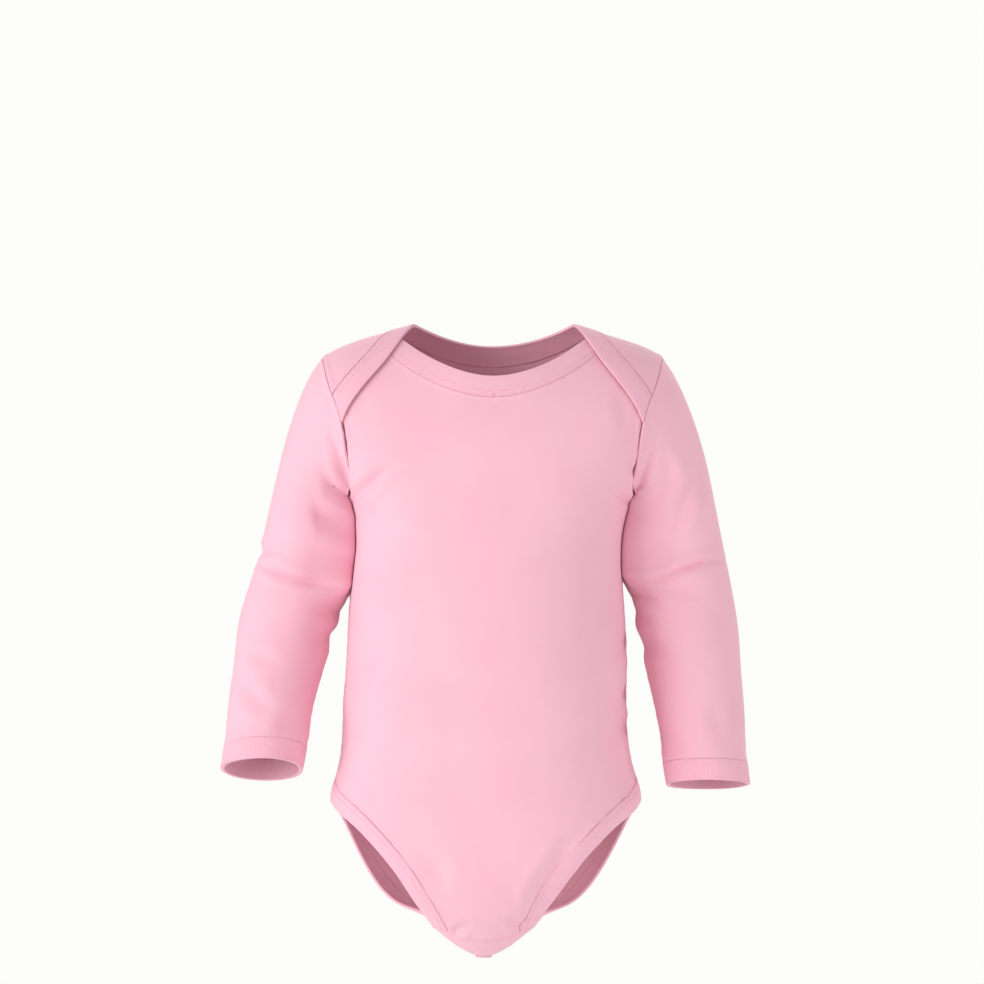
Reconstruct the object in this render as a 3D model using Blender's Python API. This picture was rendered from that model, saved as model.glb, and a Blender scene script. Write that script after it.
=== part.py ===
"""Baby bodysuit: a long-sleeved knit onesie with envelope neck and snap crotch, hollow, in its worn shape.

Every piece of cloth is a closed wall that lies on one garment surface. A place on that surface is an angle
around the body (0 at the centre front, 90 at the side, 180 at the centre back) and a height up the cloth from
the lowest line of the crotch, in millimetres. The front faces -Y and the neck is up, +Z.
"""
import bpy
import bmesh
import numpy as np

MILLIMETRE = 0.001

# Cloth walls and seams, in mm
PANEL = 1.2            # single knit of the front, back and sleeves
RIB = 1.6              # doubled binding of the neck and the legs
CUFF = 2.0             # doubled rib of the cuffs
PLACKET = 1.6          # doubled and fused tab that carries the snaps
SEAM = 0.3             # clearance between two pieces at a seam
NECK_BAND = 12.5
LEG_BAND = 11.0
CUFF_BAND = 11.5
LAP_LIFT = 2.4         # the back lies this far out where it laps over the front
TAB_LIFT = 2.1         # the front lies this far out where it laps over the back tab

# Rings of the garment from the crotch up to the neck edge, inner face of the cloth, mm
SECTIONS = (
    # name        half   side_z  front_y front_z back_y back_z  square centre
    ("crotch",    35.0, -287.0,    0.0, -337.2,   0.0, -337.2,  0.00,  -4.6),
    ("strap",     43.0, -289.0,  -14.5, -334.0,  22.0, -335.2,  0.01,  -4.6),
    ("groin",     56.8, -287.0,  -33.5, -320.2,  45.0, -323.8,  0.02,  -4.4),
    ("thigh",     73.6, -271.0,  -51.5, -297.6,  66.0, -300.4,  0.03,  -4.0),
    ("hip",       82.6, -257.0,  -61.0, -268.0,  75.0, -268.0,  0.04,  -3.4),
    ("seat",      78.2, -238.0,  -65.0, -243.0,  75.0, -240.0,  0.04,  -3.6),
    ("belly",     75.0, -212.0,  -68.5, -213.0,  67.0, -212.0,  0.04,  -3.8),
    ("waist",     74.2, -180.0,  -69.0, -180.0,  59.0, -180.0,  0.04,  -3.0),
    ("ribs",      72.4, -145.0,  -66.0, -146.0,  56.0, -147.0,  0.04,  -2.7),
    ("underarm",  73.2, -100.0,  -61.5, -110.0,  57.0, -110.0,  0.04,  -0.8),
    ("armhole",   89.0,  -62.0,  -58.0,  -88.0,  56.0,  -84.0,  0.03,   0.2),
    ("shoulder",  92.8,  -24.4,  -54.0,  -66.0,  54.0,  -52.0,  0.02,   0.2),
    ("yoke",      67.6,  -10.8,  -48.5,  -47.0,  49.5,  -29.0,  0.01,   0.6),
    ("neck",      42.0,   -2.8,  -42.0,  -29.0,  42.0,  -11.5,  0.00,   1.0),
)
SEAT_DROP = 26.0       # how far the seat of the cloth hangs below the front at the same height

# Armhole seam: degrees in front of the side line, or behind it, and height
ARMHOLE = (
    # turn  height
    (0.0,   316.0),
    (15.0,  314.0),
    (29.0,  308.0),
    (37.0,  300.5),
    (38.5,  291.0),
    (35.0,  278.0),
    (28.0,  266.0),
    (16.0,  257.0),
    (0.0,   253.0),
)
# Free edge of a lap: degrees from the centre of the side it laps onto, and height
LAP = (
    # turn  height
    (59.0,  280.0),
    (54.0,  291.0),
    (50.8,  301.0),
    (49.5,  312.0),
    (52.0,  325.0),
    (59.3,  338.4),
)
# Neck edge from the centre of each side to its lap: degrees from that centre, and drop below the neck ring
NECK_FRONT = (
    # turn  drop
    (0.0,    0.4),
    (24.0,   2.2),
    (37.5,   4.3),
    (53.0,   6.7),
    (72.0,   8.6),
    (90.0,   9.4),
    (106.0, 11.2),
)
NECK_BACK = (
    # turn  drop
    (0.0,    0.0),
    (20.0,   0.0),
    (40.0,   0.0),
    (60.0,   0.0),
    (78.0,   0.0),
    (90.0,   0.6),
    (101.0,  3.2),
    (111.5,  9.0),
)
# Seam of the leg binding from the front tab over the hip to the back tab: degrees from the centre, height
LEG_FRONT = (
    # turn  height
    (17.8,   20.0),
    (18.0,   29.0),
    (18.4,   36.0),
    (21.2,   50.0),
    (25.5,   66.0),
    (33.5,   81.5),
    (45.0,   94.5),
    (63.0,  102.5),
    (90.0,  106.5),
)
LEG_BACK = (
    # turn  height
    (77.0,  102.0),
    (67.0,   91.0),
    (58.0,   76.0),
    (48.0,   58.0),
    (36.0,   39.0),
    (26.0,   24.5),
    (20.0,   14.0),
    (18.6,    5.0),
    (18.0,   -4.0),
)
FRONT_TAB = (-7.0, 29.0)      # heights of the front tab's free edge and seam
BACK_TAB = (-14.0, 11.0)      # the back tab's seam and free edge, measured forwards from the lowest line
TAB_HALF_WIDTH = 29.0

# Sleeve sections down the arm, middle of the wall, mm; the cuff begins at the row before the last
SLEEVES = {
    # x         y      z       half_x  half_y  tilt
    "right": (
        (-100.0, 1.5, -108.0,  21.6,   27.5,    0.0),
        (-101.5, 3.0, -124.0,  24.1,   27.0,   -2.0),
        (-104.5, 3.0, -142.0,  26.7,   26.6,    4.0),
        (-109.6, 0.5, -160.0,  26.2,   25.8,   14.0),
        (-114.0, -5.0, -180.0, 24.0,   24.4,   19.0),
        (-118.0, -11.6, -200.0, 22.4,  23.2,   20.0),
        (-120.6, -18.4, -220.0, 21.4,  22.2,   20.0),
        (-122.6, -24.6, -238.0, 20.8,  21.6,   20.0),
    ),
    "left": (
        (99.2,   1.5, -108.0,  23.0,   27.5,    0.0),
        (99.6,   2.5, -126.0,  26.0,   27.0,   -1.0),
        (102.0,  2.5, -146.0,  27.3,   26.6,    3.0),
        (106.0,  1.0, -166.0,  26.6,   25.8,    8.0),
        (109.0,  -2.4, -187.0, 24.8,   24.6,   10.0),
        (111.8,  -6.4, -208.0, 23.2,   23.4,   11.0),
        (114.0,  -10.6, -229.0, 22.0,  22.4,   11.0),
        (115.8,  -14.2, -247.0, 21.4,  21.8,   11.0),
    ),
}

# Soft folds pressed into the body: start and end of each as angle and height, half width and depth in mm
BODY_FOLDS = (
    # from angle, height   to angle, height   half  depth
    (-72.0, 258.0,        -34.0, 240.0,       11.0, 1.5),
    (72.0,  258.0,         36.0, 238.0,       11.0, 1.5),
    (88.0,  152.0,         48.0, 130.0,       11.0, 1.4),
    (-88.0, 142.0,        -52.0, 122.0,       11.0, 1.0),
    (110.0, 256.0,        148.0, 236.0,       11.0, 1.6),
    (-110.0, 256.0,      -148.0, 236.0,       11.0, 1.6),
    (104.0, 178.0,        164.0, 166.0,       12.0, 1.8),
    (-102.0, 170.0,      -156.0, 156.0,       12.0, 1.8),
)
# Creases of a sleeve: millimetres down the arm, degrees round it from the outside over the front,
# half the turn it covers, its slope in mm per quarter turn, half width and depth
SLEEVE_FOLDS = {
    # down   round   cover  slope  half  depth
    "right": (
        (31.0,  122.0,  66.0,  -7.0, 6.0, 2.6),
        (40.0,  215.0,  70.0,   6.0, 6.0, 2.0),
        (18.0,  110.0,  60.0,   9.0, 7.0, 1.4),
        (60.0,  185.0,  70.0,  -6.0, 7.0, 1.2),
    ),
    "left": (
        (33.0,  124.0,  66.0,  -7.0, 6.0, 2.6),
        (44.0,  215.0,  70.0,   6.0, 6.0, 2.0),
        (16.0,  110.0,  60.0,   9.0, 7.0, 1.4),
        (66.0,  185.0,  70.0,  -6.0, 7.0, 1.2),
    ),
}

SNAP_RADIUS = 4.8
SNAP_HEIGHT = 0.9
SNAP_PITCH = 16.0
SNAP_ROW = 2.0        # height of the row of snaps

# Mesh divisions
LOOP_STEPS = 20        # round an armhole and a sleeve
LEG_ROWS, SIDE_ROWS, SHOULDER_ROWS = 9, 11, 7
PANEL_COLUMNS = 22
CAP_RINGS, ARM_RINGS = 8, 12

COLOURS = {
    "cloth": (0.93, 0.56, 0.66, 1.0),
    "rib": (0.91, 0.52, 0.63, 1.0),
    "snap": (0.90, 0.62, 0.70, 1.0),
}


class Spline:
    """Natural cubic through rows of values."""

    def __init__(self, knots, values):
        t, v = np.asarray(knots, float), np.asarray(values, float)
        n, h = len(t), np.diff(t)
        system, right = np.eye(n), np.zeros((n,) + v.shape[1:])
        for i in range(1, n - 1):
            system[i, i - 1:i + 2] = h[i - 1], 2 * (h[i - 1] + h[i]), h[i]
            right[i] = 6 * ((v[i + 1] - v[i]) / h[i] - (v[i] - v[i - 1]) / h[i - 1])
        self.t, self.v, self.m = t, v, np.linalg.solve(system, right)

    def __call__(self, x):
        x = np.asarray(x, float)
        i = np.clip(np.searchsorted(self.t, x) - 1, 0, len(self.t) - 2)
        spread = (...,) + (None,) * (self.v.ndim - 1)
        h = (self.t[i + 1] - self.t[i])[spread]
        a = (self.t[i + 1] - x)[spread] / h
        b = 1.0 - a
        bend = ((a ** 3 - a) * self.m[i] + (b ** 3 - b) * self.m[i + 1]) * h * h / 6
        return a * self.v[i] + b * self.v[i + 1] + bend


def through(points, samples=500):
    """Smooth dense curve through points given as angle and height."""
    points = np.asarray(points, float)
    gaps = np.hypot(*(np.diff(points, axis=0) * (1.2, 1.0)).T)
    knots = np.concatenate([[0.0], np.cumsum(gaps)])
    return Spline(knots, points)(np.linspace(0.0, knots[-1], samples))


def soft_step(x):
    x = np.clip(x, 0.0, 1.0)
    return x * x * (3.0 - 2.0 * x)


_ROWS = np.array([row[1:] for row in SECTIONS])
_SPANS = [np.linalg.norm(np.diff(_ROWS[:, pair], axis=0), axis=1) for pair in ([0, 1], [2, 3], [4, 5])]
_HEIGHTS = np.concatenate([[0.0], np.cumsum(np.mean(_SPANS, axis=0))])
_KNOTS = np.concatenate([-_HEIGHTS[:0:-1], _HEIGHTS])
_MIDLINE = Spline(_KNOTS, np.concatenate([_ROWS[:0:-1, 4:6], _ROWS[:, 2:4]]))
_SIDES = Spline(_KNOTS, np.concatenate([_ROWS[:0:-1], _ROWS])[:, [0, 1, 6, 7]])
HEIGHT = dict(zip([row[0] for row in SECTIONS], _HEIGHTS))
TOP = HEIGHT["neck"]


def plain_surface(angle, height):
    """Smooth ring surface in mm; a height below zero runs on under the crotch to the other side."""
    angle, height = np.broadcast_arrays(np.asarray(angle, float), np.asarray(height, float))
    angle = np.where(height < 0, 180.0 - angle, angle)
    height = np.abs(height)
    turn = np.radians(angle)
    front = np.cos(turn) >= -1e-9
    half, side_z, square, centre = np.moveaxis(_SIDES(height), -1, 0)
    depth, mid_z = np.moveaxis(_MIDLINE(np.where(front, height, -height)), -1, 0)
    seat = np.sin(np.pi * np.clip(height / HEIGHT["hip"], 0.0, 1.0)) ** 2
    level = side_z - np.where(front, 0.0, SEAT_DROP) * seat
    x = centre + half * (np.sin(turn) + square * np.sin(3 * turn)) / (1 - square)
    y = np.abs(np.cos(turn) - square * np.cos(3 * turn)) / (1 - square) * depth
    return np.stack([x, y, level - (level - mid_z) * np.cos(turn) ** 2], -1)


def slopes(surface, angle, height, step=0.2):
    """Derivatives of a surface by angle and by height."""
    by_angle = (surface(angle + step, height) - surface(angle - step, height)) / (2 * step)
    by_height = (surface(angle, height + step) - surface(angle, height - step)) / (2 * step)
    return by_angle, by_height


def outward(surface, angle, height):
    normal = np.cross(*slopes(surface, angle, height))
    return normal / np.linalg.norm(normal, axis=-1, keepdims=True)


def fold_depth(angle, height):
    """How far the soft folds press the body in, mm."""
    angle = (np.asarray(angle, float) + 180.0) % 360.0 - 180.0
    depth = np.zeros(np.broadcast(angle, height).shape)
    for a0, h0, a1, h1, half, deep in BODY_FOLDS:
        run = np.array([(a1 - a0) * 1.25, h1 - h0])
        place = np.stack([(angle - a0) * 1.25, height - h0], -1)
        along = place @ run / (run @ run)
        off = np.linalg.norm(place - along[..., None] * run, axis=-1) / half
        depth = depth + deep * np.exp(-off ** 2) * np.clip(4 * along * (1 - along), 0.0, 1.0)
    return depth


def surface(angle, height):
    """The worn surface with its folds, inner face of the cloth."""
    angle, height = np.broadcast_arrays(np.asarray(angle, float), np.asarray(height, float))
    press = fold_depth(angle, height)[..., None]
    return plain_surface(angle, height) - press * outward(plain_surface, angle, height)


def shift(curve, distance):
    """Move a curve across the cloth, to its left as seen from outside, by millimetres."""
    curve, steps = np.array(curve, float), 6
    for _ in range(steps):
        angle, height = curve.T
        by_angle, by_height = slopes(plain_surface, angle, height)
        travel = np.gradient(curve, axis=0)
        along = by_angle * travel[:, :1] + by_height * travel[:, 1:]
        left = np.cross(np.cross(by_angle, by_height), along)
        left *= distance / steps / np.linalg.norm(left, axis=1, keepdims=True)
        gram = np.stack([np.stack([(by_angle ** 2).sum(1), (by_angle * by_height).sum(1)], -1),
                         np.stack([(by_angle * by_height).sum(1), (by_height ** 2).sum(1)], -1)], -1)
        pull = np.stack([(by_angle * left).sum(1), (by_height * left).sum(1)], -1)
        curve += np.linalg.solve(gram, pull[..., None])[..., 0]
    return curve


def point(curve, place):
    """Points of a dense curve at fractional positions along it."""
    index = np.arange(len(curve))
    return np.stack([np.interp(place, index, column) for column in curve.T], -1)


def spread(curve, start, end, pieces):
    """Positions that split a stretch of a curve into equal lengths of cloth."""
    places = np.linspace(start, end, 400)
    lengths = np.linalg.norm(np.diff(plain_surface(*point(curve, places).T), axis=0), axis=1)
    run = np.concatenate([[0.0], np.cumsum(lengths)])
    return np.interp(np.linspace(0.0, run[-1], pieces + 1), run, places)


def crossing(values):
    """Position where a row of values first passes through zero."""
    k = int(np.flatnonzero(values[:-1] * values[1:] <= 0)[0])
    return k + values[k] / (values[k] - values[k + 1])


def outside_armhole(curve):
    """Distance in degrees or mm from the -X armhole seam, negative inside the armhole."""
    a, b = ARM_LOOP, np.roll(ARM_LOOP, -1, axis=0)
    edge, offset = b - a, curve[:, None] - a[None]
    along = np.clip((offset * edge).sum(-1) / (edge ** 2).sum(-1), 0.0, 1.0)
    gap = np.linalg.norm(offset - along[..., None] * edge, axis=-1).min(1)
    spin = edge[:, 0] * offset[..., 1] - edge[:, 1] * offset[..., 0]
    return np.where((spin < 0).all(1), -gap, gap)


def patch(bottom, top, left, right):
    """Grid of angle and height blended from its four sides; rows run from bottom to top."""
    u = np.linspace(0.0, 1.0, len(bottom))[None, :, None]
    v = np.linspace(0.0, 1.0, len(left))[:, None, None]
    rows = (1 - u) * left[:, None] + u * right[:, None]
    columns = (1 - v) * bottom[None] + v * top[None]
    corners = ((1 - u) * (1 - v) * bottom[0] + u * (1 - v) * bottom[-1]
               + (1 - u) * v * top[0] + u * v * top[-1])
    return rows + columns - corners


def grid_quads(rows, columns, start=0, closed=False):
    """Quads of a grid of points numbered row by row."""
    quads = []
    for i in range(rows - 1):
        for j in range(columns if closed else columns - 1):
            k = (j + 1) % columns
            quads.append((start + i * columns + j, start + i * columns + k,
                          start + (i + 1) * columns + k, start + (i + 1) * columns + j))
    return quads


def add_wall(name, colour, inner, outer, quads):
    """Closed wall between two faces that share the same quads; its rim closes every open edge."""
    count = len(inner)
    uses = {}
    for quad in quads:
        for a, b in zip(quad, quad[1:] + quad[:1]):
            uses[(a, b)] = uses.get((b, a), 0) + 1
            if (b, a) in uses:
                uses[(b, a)] += 1
    rim = [edge for edge in uses if (edge[1], edge[0]) not in uses]
    faces = [tuple(count + k for k in quad) for quad in quads]
    faces += [quad[::-1] for quad in quads]
    faces += [(b, a, a + count, b + count)[::-1] for a, b in rim]
    add_object(name, colour, np.vstack([inner, outer]), faces)


def add_object(name, colour, points, faces):
    mesh = bpy.data.meshes.new(name)
    mesh.from_pydata((np.asarray(points) * MILLIMETRE).tolist(), [], faces)
    work = bmesh.new()
    work.from_mesh(mesh)
    bmesh.ops.recalc_face_normals(work, faces=work.faces)
    if work.calc_volume(signed=True) < 0:
        bmesh.ops.reverse_faces(work, faces=work.faces)
    work.to_mesh(mesh)
    work.free()
    item = bpy.data.objects.new(name, mesh)
    bpy.context.collection.objects.link(item)
    material = bpy.data.materials.new(name)
    material.use_nodes = True
    shader = material.node_tree.nodes["Principled BSDF"]
    shader.inputs["Base Color"].default_value = COLOURS[colour]
    shader.inputs["Roughness"].default_value = 0.85
    mesh.materials.append(material)
    return item


def lay(name, colour, places, quads, lift, thickness):
    """Piece that lies on the garment surface: a wall whose inner face is `lift` above it."""
    angle, height = places.T
    base, normal = surface(angle, height), outward(surface, angle, height)
    lift = np.broadcast_to(lift, angle.shape)[:, None]
    add_wall(name, colour, base + normal * lift, base + normal * (lift + thickness), quads)


def strip(name, colour, rows, lift, thickness):
    """Band between matching rows of angle and height."""
    places = np.vstack(rows)
    lay(name, colour, places, grid_quads(len(rows), len(rows[0])), lift(*places.T), thickness)


def mirrored(curve, centre=0.0):
    return np.stack([2 * centre - curve[:, 0], curve[:, 1]], -1)


def armhole_loop():
    """Seam round the armhole on the -X side: from the shoulder over the front, equal steps of cloth."""
    half = through(ARMHOLE, 200)
    front = half + (-90.0, 0.0)
    back = mirrored(front, -90.0)[::-1]
    return np.vstack([point(part, spread(part, 0, 199, LOOP_STEPS // 2)[:-1]) for part in (front, back)])


class NeckEdge:
    """Half of the neck edge of the front or the back, from its centre to the -X armhole, lap included."""

    def __init__(self, facing):
        front = facing == "front"
        self.centre, self.sign = (0.0, 1.0) if front else (-180.0, -1.0)
        drops = NECK_FRONT if front else NECK_BACK
        ring = [(self.centre - self.sign * turn, TOP - drop) for turn, drop in drops]
        lap = [(self.centre - self.sign * (180.0 - turn), height) for turn, height in LAP[::-1]]
        self.edge = through(ring + lap, 800)
        self.seam = self.inset(NECK_BAND + SEAM)
        self.line = crossing(self.seam[:, 0] + 90.0)
        self.end = self.last(self.seam)
        beyond = ARM_LOOP[:LOOP_STEPS // 2 + 1] if facing == "back" else other_half()
        self.loop = beyond[beyond[:, 1] > point(self.seam, self.end)[1] + 1.0]
        self.fork = self.line + 0.16 * (self.end - self.line)
        self.marks = (spread(self.seam, 0.0, self.line, PANEL_COLUMNS // 2),
                      spread(self.seam, self.line, self.fork, len(self.loop)),
                      spread(self.seam, self.fork, self.end, SHOULDER_ROWS))

    def inset(self, distance):
        return shift(self.edge, self.sign * distance)

    @staticmethod
    def last(curve, clear=0.0):
        """Position at which a curve comes within a distance of the armhole."""
        return crossing(outside_armhole(curve) - clear)

    def band(self):
        """Rows of the binding from one armhole to the other."""
        places = np.concatenate([self.marks[0], self.marks[1][1:], self.marks[2][1:]])
        rows = []
        for distance in (0.0, NECK_BAND / 2, NECK_BAND):
            curve = self.inset(distance)
            stretch = (self.last(curve, 2 * SEAM) - self.fork) / (self.end - self.fork)
            beyond = self.fork + (places - self.fork) * stretch
            half = point(curve, np.where(places > self.fork, beyond, places))
            rows.append(np.vstack([mirrored(half[:0:-1], self.centre), half]))
        return rows


def other_half():
    """Back half of the armhole from the shoulder down."""
    return np.roll(ARM_LOOP[::-1], 1, axis=0)[:LOOP_STEPS // 2 + 1]


class LegEdge:
    """Seam of the leg binding on the -X side, from the front tab over the hip to the back tab."""

    def __init__(self):
        front = [(-turn, height) for turn, height in LEG_FRONT]
        back = [(turn - 180.0, height) for turn, height in LEG_BACK]
        self.seam = through(front + back, 800)
        self.side = crossing(self.seam[:, 0] + 90.0)
        starts, ends = self.ends(self.seam)
        self.front = spread(self.seam, starts, self.side, LEG_ROWS)
        self.back = spread(self.seam, self.side, ends, LEG_ROWS)

    @staticmethod
    def ends(curve):
        """Positions where a curve leaves the front tab's seam and meets the back tab's."""
        start = crossing(curve[:, 1] - FRONT_TAB[1] - SEAM / 2)
        half = len(curve) // 2
        return start, half + crossing(curve[half:, 1] + BACK_TAB[0] - SEAM / 2)

    def band(self):
        places = np.concatenate([self.front, self.back[1:]])
        rows = []
        for distance in (SEAM, SEAM + LEG_BAND / 2, SEAM + LEG_BAND):
            curve = shift(self.seam, distance)
            start, end = self.ends(curve)
            rows.append(point(curve, np.concatenate([[start], places[1:-1], [end]])))
        return rows


ARM_LOOP = armhole_loop()


def lift_front(angle, height):
    """Front cloth rises over the back tab."""
    return TAB_LIFT * soft_step((76.0 - height) / 40.0)


def lift_back(angle, height):
    """Back cloth rises over the front's laps."""
    return LAP_LIFT * soft_step((height - 258.0) / 32.0)


def panel(name, neck, leg, lift):
    """Front or back with both its shoulder laps, welded along the shoulder lines."""
    facing_front = neck.sign > 0
    half_columns, half_loop = PANEL_COLUMNS // 2, LOOP_STEPS // 2
    side = -90.0 + neck.sign * SEAM / 2 / 1.15

    top = point(neck.seam, neck.marks[0])
    leg_part = point(leg.seam, leg.front if facing_front else leg.back[::-1])
    armhole = (ARM_LOOP[:half_loop + 1] if facing_front else other_half())[::-1].copy()
    leg_part[-1, 0] = armhole[0, 0] = side
    side_line = np.linspace(leg_part[-1], armhole[0], SIDE_ROWS + 1)
    shoulder = np.linspace(armhole[-1], top[-1], SHOULDER_ROWS + 1)
    left = np.vstack([leg_part[:-1], side_line[:-1], armhole[:-1], shoulder])

    rows = len(left)
    middle = np.concatenate([
        (0.85 * leg_part[:, 1] + 0.15 * np.linspace(leg_part[0, 1], 106.0, LEG_ROWS + 1))[:-1],
        np.linspace(106.0, 250.0, SIDE_ROWS + 1)[:-1],
        np.linspace(250.0, 312.0, half_loop + 1)[:-1],
        np.linspace(312.0, top[0, 1], SHOULDER_ROWS + 1)])
    u = np.linspace(0.0, 1.0, half_columns + 1)
    half = np.empty((rows, half_columns + 1, 2))
    reach = left[:, 0] - neck.centre
    even = np.convolve(np.pad(reach, 3, "edge"), np.full(7, 1 / 7), "valid")
    half[..., 0] = neck.centre + even[:, None] * u + (reach - even)[:, None] * u ** 2.4
    half[..., 1] = middle[:, None] + (left[:, 1:] - middle[:, None]) * u ** 1.7
    half += (top - half[-1])[None] * (np.linspace(0.0, 1.0, rows)[:, None, None] ** 6)
    half[:, -1] = left
    other = half[:, :0:-1].copy()
    other[..., 0] = 2 * neck.centre - other[..., 0]
    grid = np.concatenate([other, half], axis=1)

    ear = patch(shoulder, point(neck.seam, neck.marks[2][::-1]),
                np.vstack([neck.loop, point(neck.seam, neck.end)[None]]),
                point(neck.seam, neck.marks[1]))[1:]

    columns = PANEL_COLUMNS + 1
    places, quads = [grid.reshape(-1, 2)], grid_quads(rows, columns)
    count = rows * columns
    for column in (0, PANEL_COLUMNS):
        extra = ear.copy()
        if column == 0:
            extra[..., 0] = 2 * neck.centre - extra[..., 0]
        lines = [[(rows - 1 - SHOULDER_ROWS + k) * columns + column for k in range(SHOULDER_ROWS + 1)]]
        lines += [[count + r * (SHOULDER_ROWS + 1) + k for k in range(SHOULDER_ROWS + 1)]
                  for r in range(len(extra))]
        for near, far in zip(lines, lines[1:]):
            for k in range(SHOULDER_ROWS):
                quad = (near[k], far[k], far[k + 1], near[k + 1])
                quads.append(quad[::-1] if column == 0 else quad)
        places.append(extra.reshape(-1, 2))
        count += extra.shape[0] * extra.shape[1]
    places = np.vstack(places)
    lay(name, "cloth", places, quads, lift(*places.T), PANEL)


def across(height, distance):
    """Angle at which the cloth has run `distance` mm from the centre line at a height."""
    angles = np.linspace(0.0, 60.0, 121)
    steps = np.linalg.norm(np.diff(plain_surface(angles, height), axis=0), axis=1)
    return np.interp(distance, np.concatenate([[0.0], np.cumsum(steps)]), angles)


def tab(name, heights, half_width, lift):
    """Rectangular placket tab under the crotch; heights are measured forwards."""
    rows = []
    for height in np.linspace(heights[0], heights[1], 5):
        rows.append([(across(height, abs(w)) * np.sign(w), height)
                     for w in np.linspace(-half_width, half_width, 11)])
    places = np.array(rows).reshape(-1, 2)
    lay(name, "rib", places, grid_quads(5, 11), lift, PLACKET)


def snap_disc(name, height, sideways, lift, direction):
    """Low domed snap cap whose flat face looks at the cloth."""
    angle = across(height, abs(sideways)) * np.sign(sideways)
    base = surface(angle, height)
    normal = outward(surface, angle, height)
    ahead = slopes(plain_surface, np.asarray(angle), np.asarray(height))[1]
    ahead = ahead - normal * (ahead @ normal)
    ahead /= np.linalg.norm(ahead)
    aside = np.cross(normal, ahead)
    foot = base + normal * lift
    points, sides = [], 16
    profile = ((SNAP_RADIUS, 0.0), (SNAP_RADIUS, 0.35),
               (SNAP_RADIUS * 0.75, 0.75), (SNAP_RADIUS * 0.3, SNAP_HEIGHT))
    for radius, rise in profile:
        for k in range(sides):
            turn = 2 * np.pi * k / sides
            spoke = np.cos(turn) * ahead + np.sin(turn) * aside
            points.append(foot + radius * spoke + normal * rise * direction)
    faces = grid_quads(len(profile), sides, closed=True)
    faces += [tuple(range(sides))[::-1], tuple(range(sides * (len(profile) - 1), sides * len(profile)))]
    add_object(name, "snap", points, faces)


def arm_table(side):
    rows = np.array(SLEEVES[side])
    run = np.concatenate([[0.0], np.cumsum(np.linalg.norm(np.diff(rows[:, :3], axis=0), axis=1))])
    return Spline(run, rows), run


def arm_rings(side, downs):
    """Rings of the sleeve's middle surface at distances down the arm, folds included."""
    table, _ = arm_table(side)
    turn = 2 * np.pi * np.arange(LOOP_STEPS) / LOOP_STEPS
    outer = -1.0 if side == "right" else 1.0
    rings = []
    for down in np.atleast_1d(downs):
        x, y, z, half_x, half_y, tilt = table(down)
        lean = np.radians(tilt)
        degrees = np.degrees(turn)
        press = np.zeros(LOOP_STEPS)
        for at, centre, cover, slope, half, depth in SLEEVE_FOLDS[side]:
            away = (degrees - centre + 180.0) % 360.0 - 180.0
            off = (down - at - slope * away / 90.0) / half
            press += depth * np.exp(-off ** 2) * np.clip(1 - (away / cover) ** 2, 0.0, 1.0)
        wide, deep = half_x - press, half_y - press
        rings.append(np.stack([x + outer * wide * np.cos(turn),
                               y - deep * np.sin(turn) * np.cos(lean),
                               z + deep * np.sin(turn) * np.sin(lean)], -1))
    return np.array(rings)


def sleeve_sheet(side):
    """Middle surface of a sleeve from the armhole seam to the cuff seam, and the wall direction there."""
    loop = ARM_LOOP if side == "right" else mirrored(ARM_LOOP)
    closed = np.vstack([loop[-1:], loop, loop[:1]])
    inward = -1.5 * SEAM if side == "right" else 1.5 * SEAM
    start = shift(closed, inward)[1:-1]
    rise = 0.5 * LAP_LIFT * soft_step((start[:, 1] - 258.0) / 32.0)
    normal = outward(surface, *start.T)
    first = surface(*start.T) + normal * (rise + PANEL / 2)[:, None]
    nearer = surface(*shift(closed, inward * 8)[1:-1].T) - surface(*start.T)
    heading = nearer / np.linalg.norm(nearer, axis=1, keepdims=True)

    _, run = arm_table(side)
    bicep, below = arm_rings(side, [0.0, 2.0])
    fall = (below - bicep) / 2.0
    reach = np.linalg.norm(bicep - first, axis=1)[:, None]
    leave = heading * np.maximum(reach * 0.8, 9.0)
    arrive = fall * np.maximum(reach * 1.0, 16.0)
    rings = []
    for s in np.linspace(0.0, 1.0, CAP_RINGS + 1)[:-1]:
        rings.append(first * (2 * s ** 3 - 3 * s ** 2 + 1) + leave * (s ** 3 - 2 * s ** 2 + s)
                     + bicep * (3 * s ** 2 - 2 * s ** 3) + arrive * (s ** 3 - s ** 2))
    arm = arm_rings(side, np.linspace(0.0, run[-1] - CUFF_BAND - SEAM, ARM_RINGS + 1))
    sheet = np.concatenate([np.array(rings), arm])
    return sheet, ring_normals(sheet, side, normal)


def ring_normals(sheet, side, first=None):
    down = np.gradient(sheet, axis=0)
    around = np.roll(sheet, -1, axis=1) - np.roll(sheet, 1, axis=1)
    normal = np.cross(down, around) if side == "right" else np.cross(around, down)
    normal /= np.linalg.norm(normal, axis=-1, keepdims=True)
    if first is not None:
        normal[0] = first
    return normal


def sleeve(name, side):
    sheet, normal = sleeve_sheet(side)
    half = PANEL / 2
    add_wall(name, "cloth", (sheet - normal * half).reshape(-1, 3), (sheet + normal * half).reshape(-1, 3),
             grid_quads(len(sheet), LOOP_STEPS, closed=True))


def cuff(name, side):
    _, run = arm_table(side)
    sheet = arm_rings(side, np.linspace(run[-1] - CUFF_BAND, run[-1], 4))
    normal = ring_normals(sheet, side)
    half = CUFF / 2
    add_wall(name, "rib", (sheet - normal * half).reshape(-1, 3), (sheet + normal * half).reshape(-1, 3),
             grid_quads(len(sheet), LOOP_STEPS, closed=True))


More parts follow.
